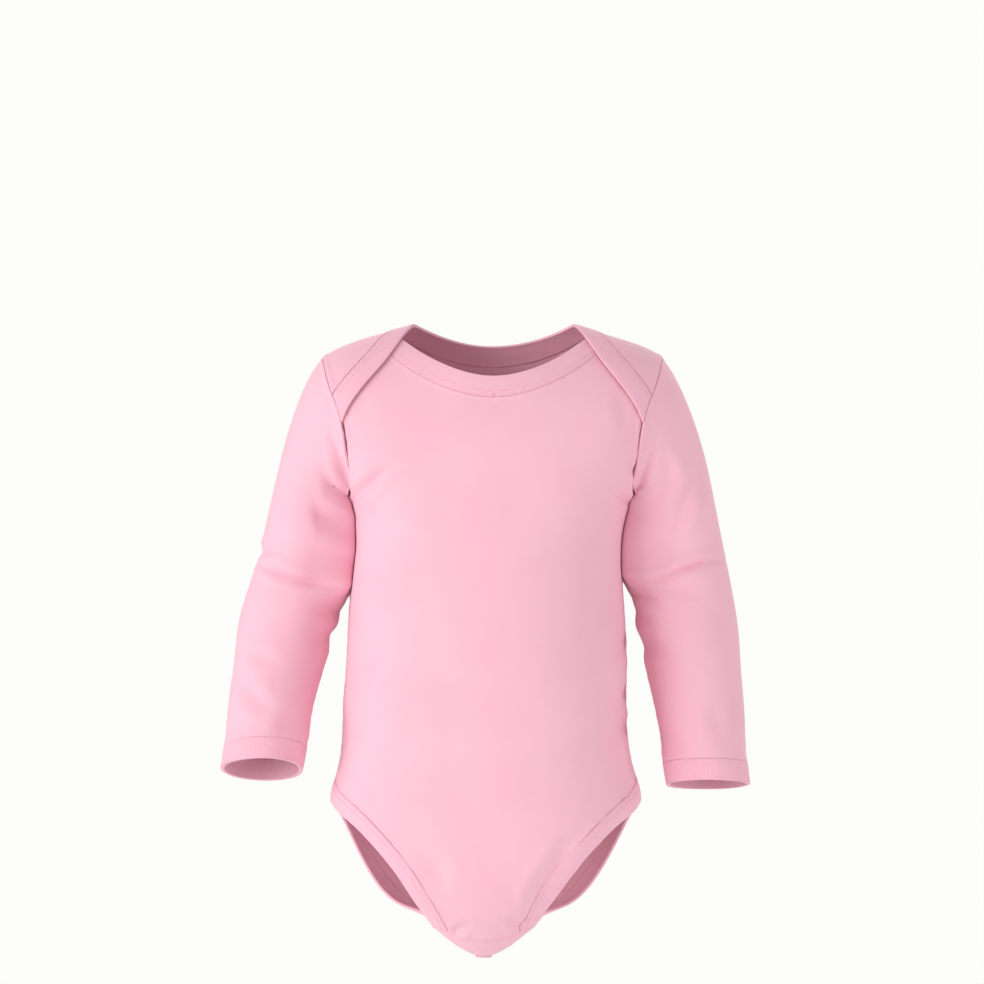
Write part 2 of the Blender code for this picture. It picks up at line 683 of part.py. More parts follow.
def main():
    for item in list(bpy.data.objects):
        bpy.data.objects.remove(item, do_unlink=True)

    leg, necks = LegEdge(), {facing: NeckEdge(facing) for facing in ("front", "back")}
    panel("front", necks["front"], leg, lift_front)
    panel("back", necks["back"], leg, lift_back)
    strip("neck_band_front", "rib", necks["front"].band(), lambda a, h: 0 * h - 0.2, RIB)
    strip("neck_band_back", "rib", necks["back"].band(), lambda a, h: 0 * h + LAP_LIFT - 0.2, RIB)

    def leg_lift(angle, height):
        front = np.cos(np.radians(angle)) >= 0
        return np.where(front, lift_front(angle, height), 0.0) - 0.2

    strip("leg_band_right", "rib", leg.band(), leg_lift, RIB)
    strip("leg_band_left", "rib", [mirrored(row) for row in leg.band()], leg_lift, RIB)

    tab("placket_front", (FRONT_TAB[0], FRONT_TAB[1] - SEAM / 2), TAB_HALF_WIDTH, 1.9)
    tab("placket_back", (BACK_TAB[0] + SEAM / 2, BACK_TAB[1]), TAB_HALF_WIDTH, -0.2)
    for index, offset in enumerate((-SNAP_PITCH, 0.0, SNAP_PITCH), start=1):
        snap_disc(f"snap_cap_{index}", SNAP_ROW, offset, 2.2 + PLACKET + SEAM, 1.0)
        snap_disc(f"snap_stud_{index}", SNAP_ROW, offset, -1.4, -1.0)

    for side in ("right", "left"):
        sleeve(f"sleeve_{side}", side)
        cuff(f"cuff_{side}", side)


main()
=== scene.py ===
"""Baby bodysuit in its worn shape: jersey panels, bound neck and legs, cuffs, snap placket and stitching.

Sizes and tables are in millimetres unless a name says otherwise. A place on the body cloth is an angle
round the body (0 at the centre front, 90 at the +X side, 180 at the centre back) and a height up the cloth
from the lowest line of the crotch. A height below zero runs on under the crotch to the other side.
"""
import logging
import math
import random
from collections.abc import Callable, Sequence
from dataclasses import dataclass, field
from enum import Enum

import bmesh
import bpy
import numpy as np
from mathutils import Matrix, Vector
from mathutils.bvhtree import BVHTree
from mathutils.kdtree import KDTree


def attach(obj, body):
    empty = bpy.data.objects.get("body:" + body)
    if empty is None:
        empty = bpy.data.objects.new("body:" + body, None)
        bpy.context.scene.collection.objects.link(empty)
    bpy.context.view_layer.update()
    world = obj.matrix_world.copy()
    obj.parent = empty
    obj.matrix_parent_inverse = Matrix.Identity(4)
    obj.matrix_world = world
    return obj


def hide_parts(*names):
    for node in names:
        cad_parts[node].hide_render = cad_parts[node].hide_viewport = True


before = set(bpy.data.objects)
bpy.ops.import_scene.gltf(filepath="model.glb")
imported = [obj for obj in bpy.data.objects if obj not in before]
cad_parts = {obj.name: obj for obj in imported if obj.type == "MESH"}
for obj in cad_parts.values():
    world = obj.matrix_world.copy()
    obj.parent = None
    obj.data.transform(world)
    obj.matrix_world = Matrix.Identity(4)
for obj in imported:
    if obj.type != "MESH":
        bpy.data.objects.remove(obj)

LOG = logging.getLogger("bodysuit")
MILLIMETRE = 0.001
Surface = Callable[[np.ndarray, np.ndarray], np.ndarray]


class Half(Enum):
    """One of two halves of the garment, its value the sign of the axis between them."""

    @property
    def word(self) -> str:
        """Return the half's name as the pieces bear it."""
        return self.name.lower()


class Facing(Half):
    """Front or back, as the sign of its outward Y."""

    FRONT = -1.0
    BACK = 1.0


class Side(Half):
    """Side of the wearer, as the sign of its X."""

    RIGHT = -1.0
    LEFT = 1.0


# Cloth walls and seams
PANEL = 1.2            # single knit of the front, back and sleeves
RIB = 1.6              # doubled binding of the neck and the legs
CUFF = 2.0             # doubled rib of the cuffs
PLACKET = 1.6          # doubled and fused tab that carries the snaps
SEAM = 0.3             # clearance between two pieces at a seam
NECK_BAND = 11.6
LEG_BAND = 11.0
CUFF_BAND = 11.5
LAP_LIFT = 2.4         # the back lies this far out where it laps over the front
LAP_FOOT = 258.0       # height at which it begins to rise there
LAP_RUN = 32.0         # and how much further up it has risen
TAB_LIFT = 2.1         # the front lies this far out where it laps over the back tab
TAB_TOP = 76.0         # height below which it begins to rise there
TAB_RUN = 40.0         # and how much further down it has risen
BAND_SINK = 0.2        # a binding wraps the raw edge, so its inner face lies this far inside the panel's
GROOVE = 0.18          # how much further a binding stands off its panel along the sewn line
STITCH_ROWS = (0.8, 3.2)     # distances of the rows of stitches from the sewn side of a binding
TAB_FACES = (1.9, -0.2)      # heights of the inner faces of the front and the back tab above the surface

# Rings of the garment from the crotch up to the neck edge, inner face of the cloth
SECTIONS = (
    # name        half   side_z  front_y front_z back_y back_z  square centre
    ("crotch",    35.0, -287.0,    0.0, -337.2,   0.0, -337.2,  0.00,  -4.6),
    ("strap",     43.0, -289.0,  -14.5, -334.0,  22.0, -335.2,  0.01,  -4.6),
    ("groin",     56.8, -287.0,  -33.5, -320.2,  45.0, -323.8,  0.02,  -4.4),
    ("thigh",     73.6, -271.0,  -51.5, -297.6,  66.0, -300.4,  0.03,  -4.0),
    ("hip",       82.6, -257.0,  -61.0, -268.0,  75.0, -268.0,  0.04,  -3.4),
    ("seat",      78.2, -238.0,  -65.0, -243.0,  75.0, -240.0,  0.04,  -3.6),
    ("belly",     75.0, -212.0,  -68.5, -213.0,  67.0, -212.0,  0.04,  -3.8),
    ("waist",     74.2, -180.0,  -69.0, -180.0,  59.0, -180.0,  0.04,  -3.0),
    ("ribs",      72.4, -145.0,  -66.0, -146.0,  56.0, -147.0,  0.04,  -2.7),
    ("underarm",  73.2, -100.0,  -61.5, -110.0,  57.0, -110.0,  0.04,  -0.8),
    ("armhole",   89.0,  -62.0,  -58.0,  -88.0,  56.0,  -84.0,  0.03,   0.2),
    ("shoulder",  92.8,  -24.4,  -54.0,  -66.0,  54.0,  -52.0,  0.02,   0.2),
    ("yoke",      67.6,  -10.8,  -48.5,  -47.0,  49.5,  -29.0,  0.01,   0.6),
    ("neck",      42.0,   -2.8,  -42.0,  -29.0,  42.0,  -11.5,  0.00,   1.0),
)
DEGREE = 1.25          # length of one degree round the body, about
SEAT_DROP = 26.0       # how far the seat hangs below the front at the same height

# Armhole seam: degrees in front of the side line or behind it, and height
ARMHOLE = ((0.0, 316.0), (15.0, 314.0), (29.0, 308.0), (37.0, 300.5), (38.5, 291.0), (35.0, 278.0),
           (28.0, 266.0), (16.0, 257.0), (0.0, 253.0))
# Free edge of a lap: degrees from the centre of the side it laps onto, and height
LAP = ((59.0, 280.0), (54.0, 291.0), (50.8, 301.0), (49.5, 312.0), (52.0, 325.0), (59.3, 338.4))
# Neck edge from the centre of each side to its lap: degrees from that centre, and drop below the neck ring
NECK_FRONT = ((0.0, 0.4), (24.0, 2.2), (37.5, 4.3), (53.0, 6.7), (72.0, 8.6), (90.0, 9.4), (106.0, 11.2))
NECK_BACK = ((0.0, 0.0), (20.0, 0.0), (40.0, 0.0), (60.0, 0.0), (78.0, 0.0), (90.0, 0.6), (101.0, 3.2),
             (111.5, 9.0))
# Seam of the leg binding: degrees from the centre of the front or the back, and height
LEG_FRONT = ((17.8, 20.0), (18.0, 29.0), (18.4, 36.0), (21.2, 50.0), (25.5, 66.0), (33.5, 81.5),
             (45.0, 94.5), (63.0, 102.5), (90.0, 106.5))
LEG_BACK = ((77.0, 102.0), (67.0, 91.0), (58.0, 76.0), (48.0, 58.0), (36.0, 39.0), (26.0, 24.5),
            (20.0, 14.0), (18.6, 5.0), (18.0, -4.0))
# Tabs: their two ends, measured forwards under the crotch
FRONT_TAB = (-7.0, 29.0)
BACK_TAB = (-14.0, 11.0)
TAB_HALF_WIDTH = 29.0

# Sleeve sections down the arm, middle of the wall
SLEEVES = {
    Side.RIGHT: (
        # x       y     z        half_x  half_y  tilt
        (-100.0, 1.5, -108.0,  21.6,   27.5,    0.0),
        (-101.5, 3.0, -124.0,  24.1,   27.0,   -2.0),
        (-104.5, 3.0, -142.0,  26.7,   26.6,    4.0),
        (-109.6, 0.5, -160.0,  26.2,   25.8,   14.0),
        (-114.0, -5.0, -180.0, 24.0,   24.4,   19.0),
        (-118.0, -11.6, -200.0, 22.4,  23.2,   20.0),
        (-120.6, -18.4, -220.0, 21.4,  22.2,   20.0),
        (-122.6, -24.6, -238.0, 20.8,  21.6,   20.0),
    ),
    Side.LEFT: (
        (99.2,   1.5, -108.0,  23.0,   27.5,    0.0),
        (99.6,   2.5, -126.0,  26.0,   27.0,   -1.0),
        (102.0,  2.5, -146.0,  27.3,   26.6,    3.0),
        (106.0,  1.0, -166.0,  26.6,   25.8,    8.0),
        (109.0,  -2.4, -187.0, 24.8,   24.6,   10.0),
        (111.8,  -6.4, -208.0, 23.2,   23.4,   11.0),
        (114.0,  -10.6, -229.0, 22.0,  22.4,   11.0),
        (115.8,  -14.2, -247.0, 21.4,  21.8,   11.0),
    ),
}
# Broad folds of the body: start and end as angle and height, half width and depth
BODY_FOLDS = (
    (-72.0, 258.0, -34.0, 240.0, 11.0, 1.5), (72.0, 258.0, 36.0, 238.0, 11.0, 1.5),
    (88.0, 152.0, 48.0, 130.0, 11.0, 1.4), (-88.0, 142.0, -52.0, 122.0, 11.0, 1.0),
    (110.0, 256.0, 148.0, 236.0, 11.0, 1.6), (-110.0, 256.0, -148.0, 236.0, 11.0, 1.6),
    (104.0, 178.0, 164.0, 166.0, 12.0, 1.8), (-102.0, 170.0, -156.0, 156.0, 12.0, 1.8),
)
# Broad folds of a sleeve: down the arm, degrees round it, cover, slope, half width, depth
SLEEVE_FOLDS = {
    Side.RIGHT: ((31.0, 122.0, 66.0, -7.0, 6.0, 2.6), (40.0, 215.0, 70.0, 6.0, 6.0, 2.0),
                 (18.0, 110.0, 60.0, 9.0, 7.0, 1.4), (60.0, 185.0, 70.0, -6.0, 7.0, 1.2)),
    Side.LEFT: ((33.0, 124.0, 66.0, -7.0, 6.0, 2.6), (44.0, 215.0, 70.0, 6.0, 6.0, 2.0),
                (16.0, 110.0, 60.0, 9.0, 7.0, 1.4), (66.0, 185.0, 70.0, -6.0, 7.0, 1.2)),
}

SNAP_PITCH = 16.0
SNAP_ROW = 2.0         # height of the row of snaps, forwards under the crotch

# Divisions of the cloth
LOOP_STEPS = 20        # round an armhole and a sleeve
LEG_ROWS, SIDE_ROWS, SHOULDER_ROWS = 9, 11, 7
PANEL_COLUMNS = 22
CAP_RINGS, ARM_RINGS = 8, 12
FINE = 6               # steps of the worn cloth to one of the divisions above
BINDING_STEPS = 330    # along half a neck edge, or along a leg edge


class Spline:
    """Natural cubic through rows of values."""

    def __init__(self, knots: Sequence[float], values: np.ndarray) -> None:
        """Solve the bends.

        Args:
            knots: places along the curve, rising.
            values: one row of values for each knot.
        """
        t, v = np.asarray(knots, float), np.asarray(values, float)
        n, h = len(t), np.diff(t)
        system, right = np.eye(n), np.zeros((n,) + v.shape[1:])
        for i in range(1, n - 1):
            system[i, i - 1:i + 2] = h[i - 1], 2 * (h[i - 1] + h[i]), h[i]
            right[i] = 6 * ((v[i + 1] - v[i]) / h[i] - (v[i] - v[i - 1]) / h[i - 1])
        self.t, self.v, self.m = t, v, np.linalg.solve(system, right)

    def __call__(self, x: np.ndarray) -> np.ndarray:
        """Return the values at places x.

        Args:
            x: places along the curve.

        Returns:
            The values, one row for each place.
        """
        x = np.asarray(x, float)
        i = np.clip(np.searchsorted(self.t, x) - 1, 0, len(self.t) - 2)
        spread = (...,) + (None,) * (self.v.ndim - 1)
        h = (self.t[i + 1] - self.t[i])[spread]
        a = (self.t[i + 1] - x)[spread] / h
        b = 1.0 - a
        bend = ((a ** 3 - a) * self.m[i] + (b ** 3 - b) * self.m[i + 1]) * h * h / 6
        return a * self.v[i] + b * self.v[i + 1] + bend


def through(points: Sequence[Sequence[float]], samples: int = 500, stretch: float = 1.2) -> np.ndarray:
    """Return a dense smooth curve through points.

    Args:
        points: pairs of values.
        samples: number of points to return.
        stretch: millimetres to one unit of the first value.

    Returns:
        The points, close together.
    """
    points = np.asarray(points, float)
    gaps = np.hypot(*(np.diff(points, axis=0) * (stretch, 1.0)).T)
    knots = np.concatenate([[0.0], np.cumsum(gaps)])
    return Spline(knots, points)(np.linspace(0.0, knots[-1], samples))


def soft_step(x: np.ndarray) -> np.ndarray:
    """Return a smooth rise from 0 to 1."""
    x = np.clip(x, 0.0, 1.0)
    return x * x * (3.0 - 2.0 * x)


def point(curve: np.ndarray, place: np.ndarray) -> np.ndarray:
    """Return points of a dense curve at fractional positions along it."""
    index = np.arange(len(curve))
    return np.stack([np.interp(place, index, column) for column in curve.T], -1)


def crossing(values: np.ndarray) -> float:
    """Return the position where a row of values first passes through zero."""
    k = int(np.flatnonzero(values[:-1] * values[1:] <= 0)[0])
    return k + values[k] / (values[k] - values[k + 1])


def mirrored(curve: np.ndarray, centre: float = 0.0) -> np.ndarray:
    """Return a curve of angle and height turned over about an angle."""
    return np.concatenate([2 * centre - curve[..., :1], curve[..., 1:]], -1)


def unit(rows: np.ndarray) -> np.ndarray:
    """Return rows of vectors with length 1."""
    return rows / np.linalg.norm(rows, axis=-1, keepdims=True)


class GarmentForm:
    """The surface on which every piece of the body cloth lies."""

    def __init__(self) -> None:
        """Work out the rings and the armhole."""
        rows = np.array([row[1:] for row in SECTIONS])
        pairs = ([0, 1], [2, 3], [4, 5])
        spans = [np.linalg.norm(np.diff(rows[:, pair], axis=0), axis=1) for pair in pairs]
        heights = np.concatenate([[0.0], np.cumsum(np.mean(spans, axis=0))])
        knots = np.concatenate([-heights[:0:-1], heights])
        self.midline = Spline(knots, np.concatenate([rows[:0:-1, 4:6], rows[:, 2:4]]))
        self.sides = Spline(knots, np.concatenate([rows[:0:-1], rows])[:, [0, 1, 6, 7]])
        self.hip = heights[[row[0] for row in SECTIONS].index("hip")]
        self.top = heights[-1]
        self.arm_loop = self.armhole_loop()

    def plain(self, angle: np.ndarray, height: np.ndarray) -> np.ndarray:
        """Return points of the smooth surface, without folds.

        Args:
            angle: degrees round the body.
            height: height up the cloth.

        Returns:
            The points.
        """
        angle, height = np.broadcast_arrays(np.asarray(angle, float), np.asarray(height, float))
        angle = np.where(height < 0, 180.0 - angle, angle)
        height = np.abs(height)
        turn = np.radians(angle)
        front = np.cos(turn) >= -1e-9
        half, side_z, square, centre = np.moveaxis(self.sides(height), -1, 0)
        depth, mid_z = np.moveaxis(self.midline(np.where(front, height, -height)), -1, 0)
        seat = np.sin(np.pi * np.clip(height / self.hip, 0.0, 1.0)) ** 2
        level = side_z - np.where(front, 0.0, SEAT_DROP) * seat
        x = centre + half * (np.sin(turn) + square * np.sin(3 * turn)) / (1 - square)
        y = np.abs(np.cos(turn) - square * np.cos(3 * turn)) / (1 - square) * depth
        return np.stack([x, y, level - (level - mid_z) * np.cos(turn) ** 2], -1)

    @staticmethod
    def slopes(surface: Surface, angle: np.ndarray, height: np.ndarray,
               step: float = 0.2) -> tuple[np.ndarray, np.ndarray]:
        """Return the derivatives of a surface by angle and by height.

        Args:
            surface: gives points from angles and heights.
            angle: degrees round the body.
            height: height up the cloth.
            step: half the span over which the change is taken.

        Returns:
            The change by angle and the change by height.
        """
        by_angle = (surface(angle + step, height) - surface(angle - step, height)) / (2 * step)
        by_height = (surface(angle, height + step) - surface(angle, height - step)) / (2 * step)
        return by_angle, by_height

    def outward(self, surface: Surface, angle: np.ndarray, height: np.ndarray) -> np.ndarray:
        """Return the directions that point out of a surface."""
        return unit(np.cross(*self.slopes(surface, angle, height)))

    @staticmethod
    def fold_depth(angle: np.ndarray, height: np.ndarray) -> np.ndarray:
        """Return how far the broad folds press the body in.

        Args:
            angle: degrees round the body.
            height: height up the cloth.

        Returns:
            The depth at each place.
        """
        angle = (np.asarray(angle, float) + 180.0) % 360.0 - 180.0
        depth = np.zeros(np.broadcast(angle, height).shape)
        for a0, h0, a1, h1, half, deep in BODY_FOLDS:
            run = np.array([(a1 - a0) * DEGREE, h1 - h0])
            place = np.stack([(angle - a0) * DEGREE, height - h0], -1)
            along = place @ run / (run @ run)
            off = np.linalg.norm(place - along[..., None] * run, axis=-1) / half
            depth = depth + deep * np.exp(-off ** 2) * np.clip(4 * along * (1 - along), 0.0, 1.0)
        return depth

    def worn(self, angle: np.ndarray, height: np.ndarray) -> np.ndarray:
        """Return points of the worn surface with its broad folds, inner face of the cloth.

        Args:
            angle: degrees round the body.
            height: height up the cloth.

        Returns:
            The points.
        """
        angle, height = np.broadcast_arrays(np.asarray(angle, float), np.asarray(height, float))
        press = self.fold_depth(angle, height)[..., None]
        return self.plain(angle, height) - press * self.outward(self.plain, angle, height)

    def skin(self, places: np.ndarray) -> tuple[np.ndarray, np.ndarray]:
        """Return points and outward directions of the worn surface at rows of angle and height."""
        angle, height = places[..., 0], places[..., 1]
        return self.worn(angle, height), self.outward(self.worn, angle, height)

    def shift(self, curve: np.ndarray, distance: float) -> np.ndarray:
        """Return a curve moved across the cloth, to its left as seen from outside.

        Args:
            curve: rows of angle and height.
            distance: how far it moves.

        Returns:
            The moved curve.
        """
        curve, steps = np.array(curve, float), 6
        for _ in range(steps):
            by_angle, by_height = self.slopes(self.plain, *curve.T)
            travel = np.gradient(curve, axis=0)
            along = by_angle * travel[:, :1] + by_height * travel[:, 1:]
            left = unit(np.cross(np.cross(by_angle, by_height), along)) * distance / steps
            gram = np.stack([np.stack([(by_angle ** 2).sum(1), (by_angle * by_height).sum(1)], -1),
                             np.stack([(by_angle * by_height).sum(1), (by_height ** 2).sum(1)], -1)], -1)
            pull = np.stack([(by_angle * left).sum(1), (by_height * left).sum(1)], -1)
            curve += np.linalg.solve(gram, pull[..., None])[..., 0]
        return curve

    def spread(self, curve: np.ndarray, start: float, end: float, shares: np.ndarray | int) -> np.ndarray:
        """Return positions along a stretch of a curve at shares of its length, or at equal steps.

        Args:
            curve: rows of angle and height.
            start: position where the stretch begins.
            end: position where it ends.
            shares: shares of its length, or the number of equal steps.

        Returns:
            The positions.
        """
        places = np.linspace(start, end, 600)
        lengths = np.linalg.norm(np.diff(self.plain(*point(curve, places).T), axis=0), axis=1)
        run = np.concatenate([[0.0], np.cumsum(lengths)])
        shares = np.linspace(0.0, 1.0, shares + 1) if isinstance(shares, int) else shares
        return np.interp(run[-1] * shares, run, places)

    def armhole_loop(self) -> np.ndarray:
        """Trace the armhole seam on the -X side.

        Returns:
            Rows of angle and height in equal steps, from the shoulder over the front.
        """
        front = through(ARMHOLE, 400) + (-90.0, 0.0)
        back = mirrored(front, -90.0)[::-1]
        steps = LOOP_STEPS // 2 * FINE
        return np.vstack([point(part, self.spread(part, 0, 399, steps)[:-1]) for part in (front, back)])

    def outside_armhole(self, curve: np.ndarray) -> np.ndarray:
        """Return distances of a curve from the armhole seam, negative inside the armhole.

        Args:
            curve: rows of angle and height on the -X side.

        Returns:
            One distance for each row, about in degrees and millimetres alike.
        """
        loop = self.arm_loop[::3]
        edge, offset = np.roll(loop, -1, axis=0) - loop, curve[:, None] - loop[None]
        along = np.clip((offset * edge).sum(-1) / (edge ** 2).sum(-1), 0.0, 1.0)
        gap = np.linalg.norm(offset - along[..., None] * edge, axis=-1).min(1)
        spin = edge[:, 0] * offset[..., 1] - edge[:, 1] * offset[..., 0]
        return np.where((spin < 0).all(1), -gap, gap)

    def across(self, height: float, distance: float) -> float:
        """Return the angle at which the cloth has run a distance from the centre line at a height.

        Args:
            height: height up the cloth.
            distance: run of the cloth, negative to the -X side.

        Returns:
            The angle in degrees.
        """
        angles = np.linspace(0.0, 60.0, 121)
        steps = np.linalg.norm(np.diff(self.plain(angles, height), axis=0), axis=1)
        return float(np.interp(abs(distance), np.concatenate([[0.0], np.cumsum(steps)]), angles)
                     * np.sign(distance))

    def grain(self, places: np.ndarray, centre: float) -> np.ndarray:
        """Return flat places of the cloth in millimetres: across from a centre angle, and up.

        Args:
            places: rows of angle and height.
            centre: angle from which the cloth is measured.

        Returns:
            Rows of distance across and distance up.
        """
        height = np.abs(places[..., 1])
        half, depth = self.sides(height)[..., 0], np.abs(self.midline(height)[..., 0])
        return np.stack([np.radians(places[..., 0] - centre) * (half + depth) / 2, places[..., 1]], -1)

    @staticmethod
    def lift_front(places: np.ndarray) -> np.ndarray:
        """Return how far the front cloth rises over the back tab."""
        return TAB_LIFT * soft_step((TAB_TOP - places[..., 1]) / TAB_RUN)

    @staticmethod
    def lift_back(places: np.ndarray) -> np.ndarray:
        """Return how far the back cloth rises over the front's laps."""
        return LAP_LIFT * soft_step((places[..., 1] - LAP_FOOT) / LAP_RUN)


class NeckEdge:
    """Half of the neck edge of the front or the back, from its centre to the -X armhole, lap included."""

    FORK = 0.16            # share of the lap's seam at which the lap's grid turns its corner
    CLEAR = 0.4            # how far above the seam's end the lap's outer side stops

    def __init__(self, form: GarmentForm, facing: Facing) -> None:
        """Trace the edge, the seam of its binding and where both run into the armhole.

        Args:
            form: the body cloth.
            facing: front or back.
        """
        self.form, self.facing = form, facing
        front = facing is Facing.FRONT
        self.centre, self.sign = (0.0, 1.0) if front else (-180.0, -1.0)
        table = NECK_FRONT if front else NECK_BACK
        ring = [(self.centre - self.sign * turn, form.top - drop) for turn, drop in table]
        lap = [(self.centre - self.sign * (180.0 - turn), height) for turn, height in LAP[::-1]]
        other_half = [(2 * self.centre - angle, height) for angle, height in ring[3:0:-1]]
        curve = through(other_half + ring + lap, 1500)
        self.edge = point(curve, np.linspace(crossing(curve[:, 0] - self.centre), len(curve) - 1, 1200))
        self.seam = self.inset(NECK_BAND + SEAM)
        self.line = crossing(self.seam[:, 0] + 90.0)
        self.end = self.last(self.seam)
        half = LOOP_STEPS // 2 * FINE
        front_half = form.arm_loop[:half + 1]
        back_half = np.roll(form.arm_loop[::-1], 1, axis=0)[:half + 1]
        self.side_loop, beyond = (front_half, back_half) if front else (back_half, front_half)
        self.loop = beyond[beyond[:, 1] > point(self.seam, self.end)[1] + self.CLEAR]
        self.fork = self.line + self.FORK * (self.end - self.line)

    def inset(self, distance: float) -> np.ndarray:
        """Return the edge moved into the cloth."""
        lead = mirrored(self.edge[12:0:-1], self.centre)
        return self.form.shift(np.vstack([lead, self.edge]), self.sign * distance)[len(lead):]

    def last(self, curve: np.ndarray) -> float:
        """Return the position at which a curve runs into the armhole."""
        return crossing(self.form.outside_armhole(curve))

    def whole(self, distance: float, steps: int) -> np.ndarray:
        """Return the line at a distance from the edge, from one armhole to the other.

        Args:
            distance: how far inside the edge it runs.
            steps: its steps on each side of the centre.

        Returns:
            Rows of angle and height.
        """
        curve = self.inset(distance)
        half = point(curve, self.form.spread(curve, 0.0, self.last(curve), steps))
        return np.vstack([mirrored(half[:0:-1], self.centre), half])


class LegEdge:
    """Seam of the leg binding on the -X side, from the front tab over the hip to the back tab."""

    def __init__(self, form: GarmentForm) -> None:
        """Trace the seam.

        Args:
            form: the body cloth.
        """
        self.form = form
        front = [(-turn, height) for turn, height in LEG_FRONT]
        back = [(turn - 180.0, height) for turn, height in LEG_BACK]
        self.seam = through(front + back, 1200)
        self.side = crossing(self.seam[:, 0] + 90.0)
        self.start, self.end = self.ends(self.seam)

    @staticmethod
    def ends(curve: np.ndarray) -> tuple[float, float]:
        """Return the positions where a curve leaves the front tab's seam and meets the back tab's.

        Args:
            curve: rows of angle and height.

        Returns:
            Both positions.
        """
        start = crossing(curve[:, 1] - FRONT_TAB[1])
        half = len(curve) // 2
        return start, half + crossing(curve[half:, 1] + BACK_TAB[0])

    def whole(self, distance: float, steps: int) -> np.ndarray:
        """Return the line at a distance outside the seam, from tab to tab."""
        curve = self.form.shift(self.seam, distance) if distance else self.seam
        return point(curve, self.form.spread(curve, *self.ends(curve), steps))


@dataclass(frozen=True)
class Crease:
    """A soft trough in the cloth with a low ridge on each side, seen from the front or the back."""

    path: tuple[tuple[float, float], ...]      # x and z
    half: float                                # half its width
    depth: float
    peak: float = 0.5                          # share of its length at which it is deepest
    facing: Facing = Facing.FRONT
    ridge: float = 0.35                        # height of the ridges, as a share of the depth

    def press(self, points: np.ndarray, normals: np.ndarray) -> np.ndarray:
        """Return how far the crease presses the cloth in at each point.

        Args:
            points: rows of x, y and z.
            normals: outward directions there.

        Returns:
            The depth at each point, negative on the ridges.
        """
        line = through(self.path, 40, 1.0)
        steps = np.diff(line, axis=0)
        lengths = np.linalg.norm(steps, axis=1)
        offset = points[:, None, [0, 2]] - line[None, :-1]
        share = np.clip((offset * steps).sum(-1) / lengths ** 2, 0.0, 1.0)
        gap = np.linalg.norm(offset - share[..., None] * steps, axis=-1)
        nearest = gap.argmin(1)
        rows = np.arange(len(points))
        run = np.concatenate([[0.0], np.cumsum(lengths)])
        along = (run[nearest] + share[rows, nearest] * lengths[nearest]) / run[-1]
        taper = np.where(along < self.peak, soft_step(along / max(self.peak, 1e-6)),
                         soft_step((1.0 - along) / max(1.0 - self.peak, 1e-6)))
        width = self.half * (0.75 + 0.5 * taper)               # a crease is narrower towards its ends
        off = gap[rows, nearest] / width
        side = self.ridge * np.exp(-((off - 2.0) / 0.8) ** 2)  # its ridges run two half widths off
        shown = soft_step((self.facing.value * normals[:, 1] + 0.6) / 0.7)
        return self.depth * (np.exp(-off ** 2) - side) * taper * shown


@dataclass
class SeamLine:
    """A sewn line that lifts the cloth over its allowance and puckers it a little."""

    run: np.ndarray
    rise: float            # height of the allowance under the cloth
    reach: float           # its half width
    pucker: float          # height of the waves along the line
    phase: float           # where the waves start

    # Waves of the pucker: rate along the line, phase and share
    WAVES = ((0.93, 0.0, 1.0), (0.61, 1.3, 0.7), (1.47, 2.1, 0.5))
    UNEVEN = 0.15          # how much the waves change the allowance, as a share of its height
    FADE = 1.4             # run over which the allowance falls away at its sides
    SPREAD = 4.5           # how far the pucker reaches to each side

    tree: KDTree = field(init=False)
    length: np.ndarray = field(init=False)

    def __post_init__(self) -> None:
        """Index the line's points."""
        self.tree = KDTree(len(self.run))
        for index, place in enumerate(self.run):
            self.tree.insert(place, index)
        self.tree.balance()
        steps = np.linalg.norm(np.diff(self.run, axis=0), axis=1)
        self.length = np.concatenate([[0.0], np.cumsum(steps)])

    def lift(self, points: np.ndarray) -> np.ndarray:
        """Return how far the line lifts the cloth at each point.

        Args:
            points: rows of x, y and z.

        Returns:
            The lift at each point.
        """
        found = [self.tree.find(place)[1:] for place in points]
        index, gap = np.array([hit[0] for hit in found]), np.array([hit[1] for hit in found])
        s = self.length[index] + self.phase
        whole = sum(share for _, _, share in self.WAVES)
        wave = sum(share * np.sin(s * rate + turn) for rate, turn, share in self.WAVES) / whole
        allowance = self.rise * (1.0 - soft_step((gap - self.reach) / self.FADE))
        pucker = self.pucker * wave * np.exp(-(gap / self.SPREAD) ** 2)
        return allowance * (1.0 + self.UNEVEN * wave) + pucker


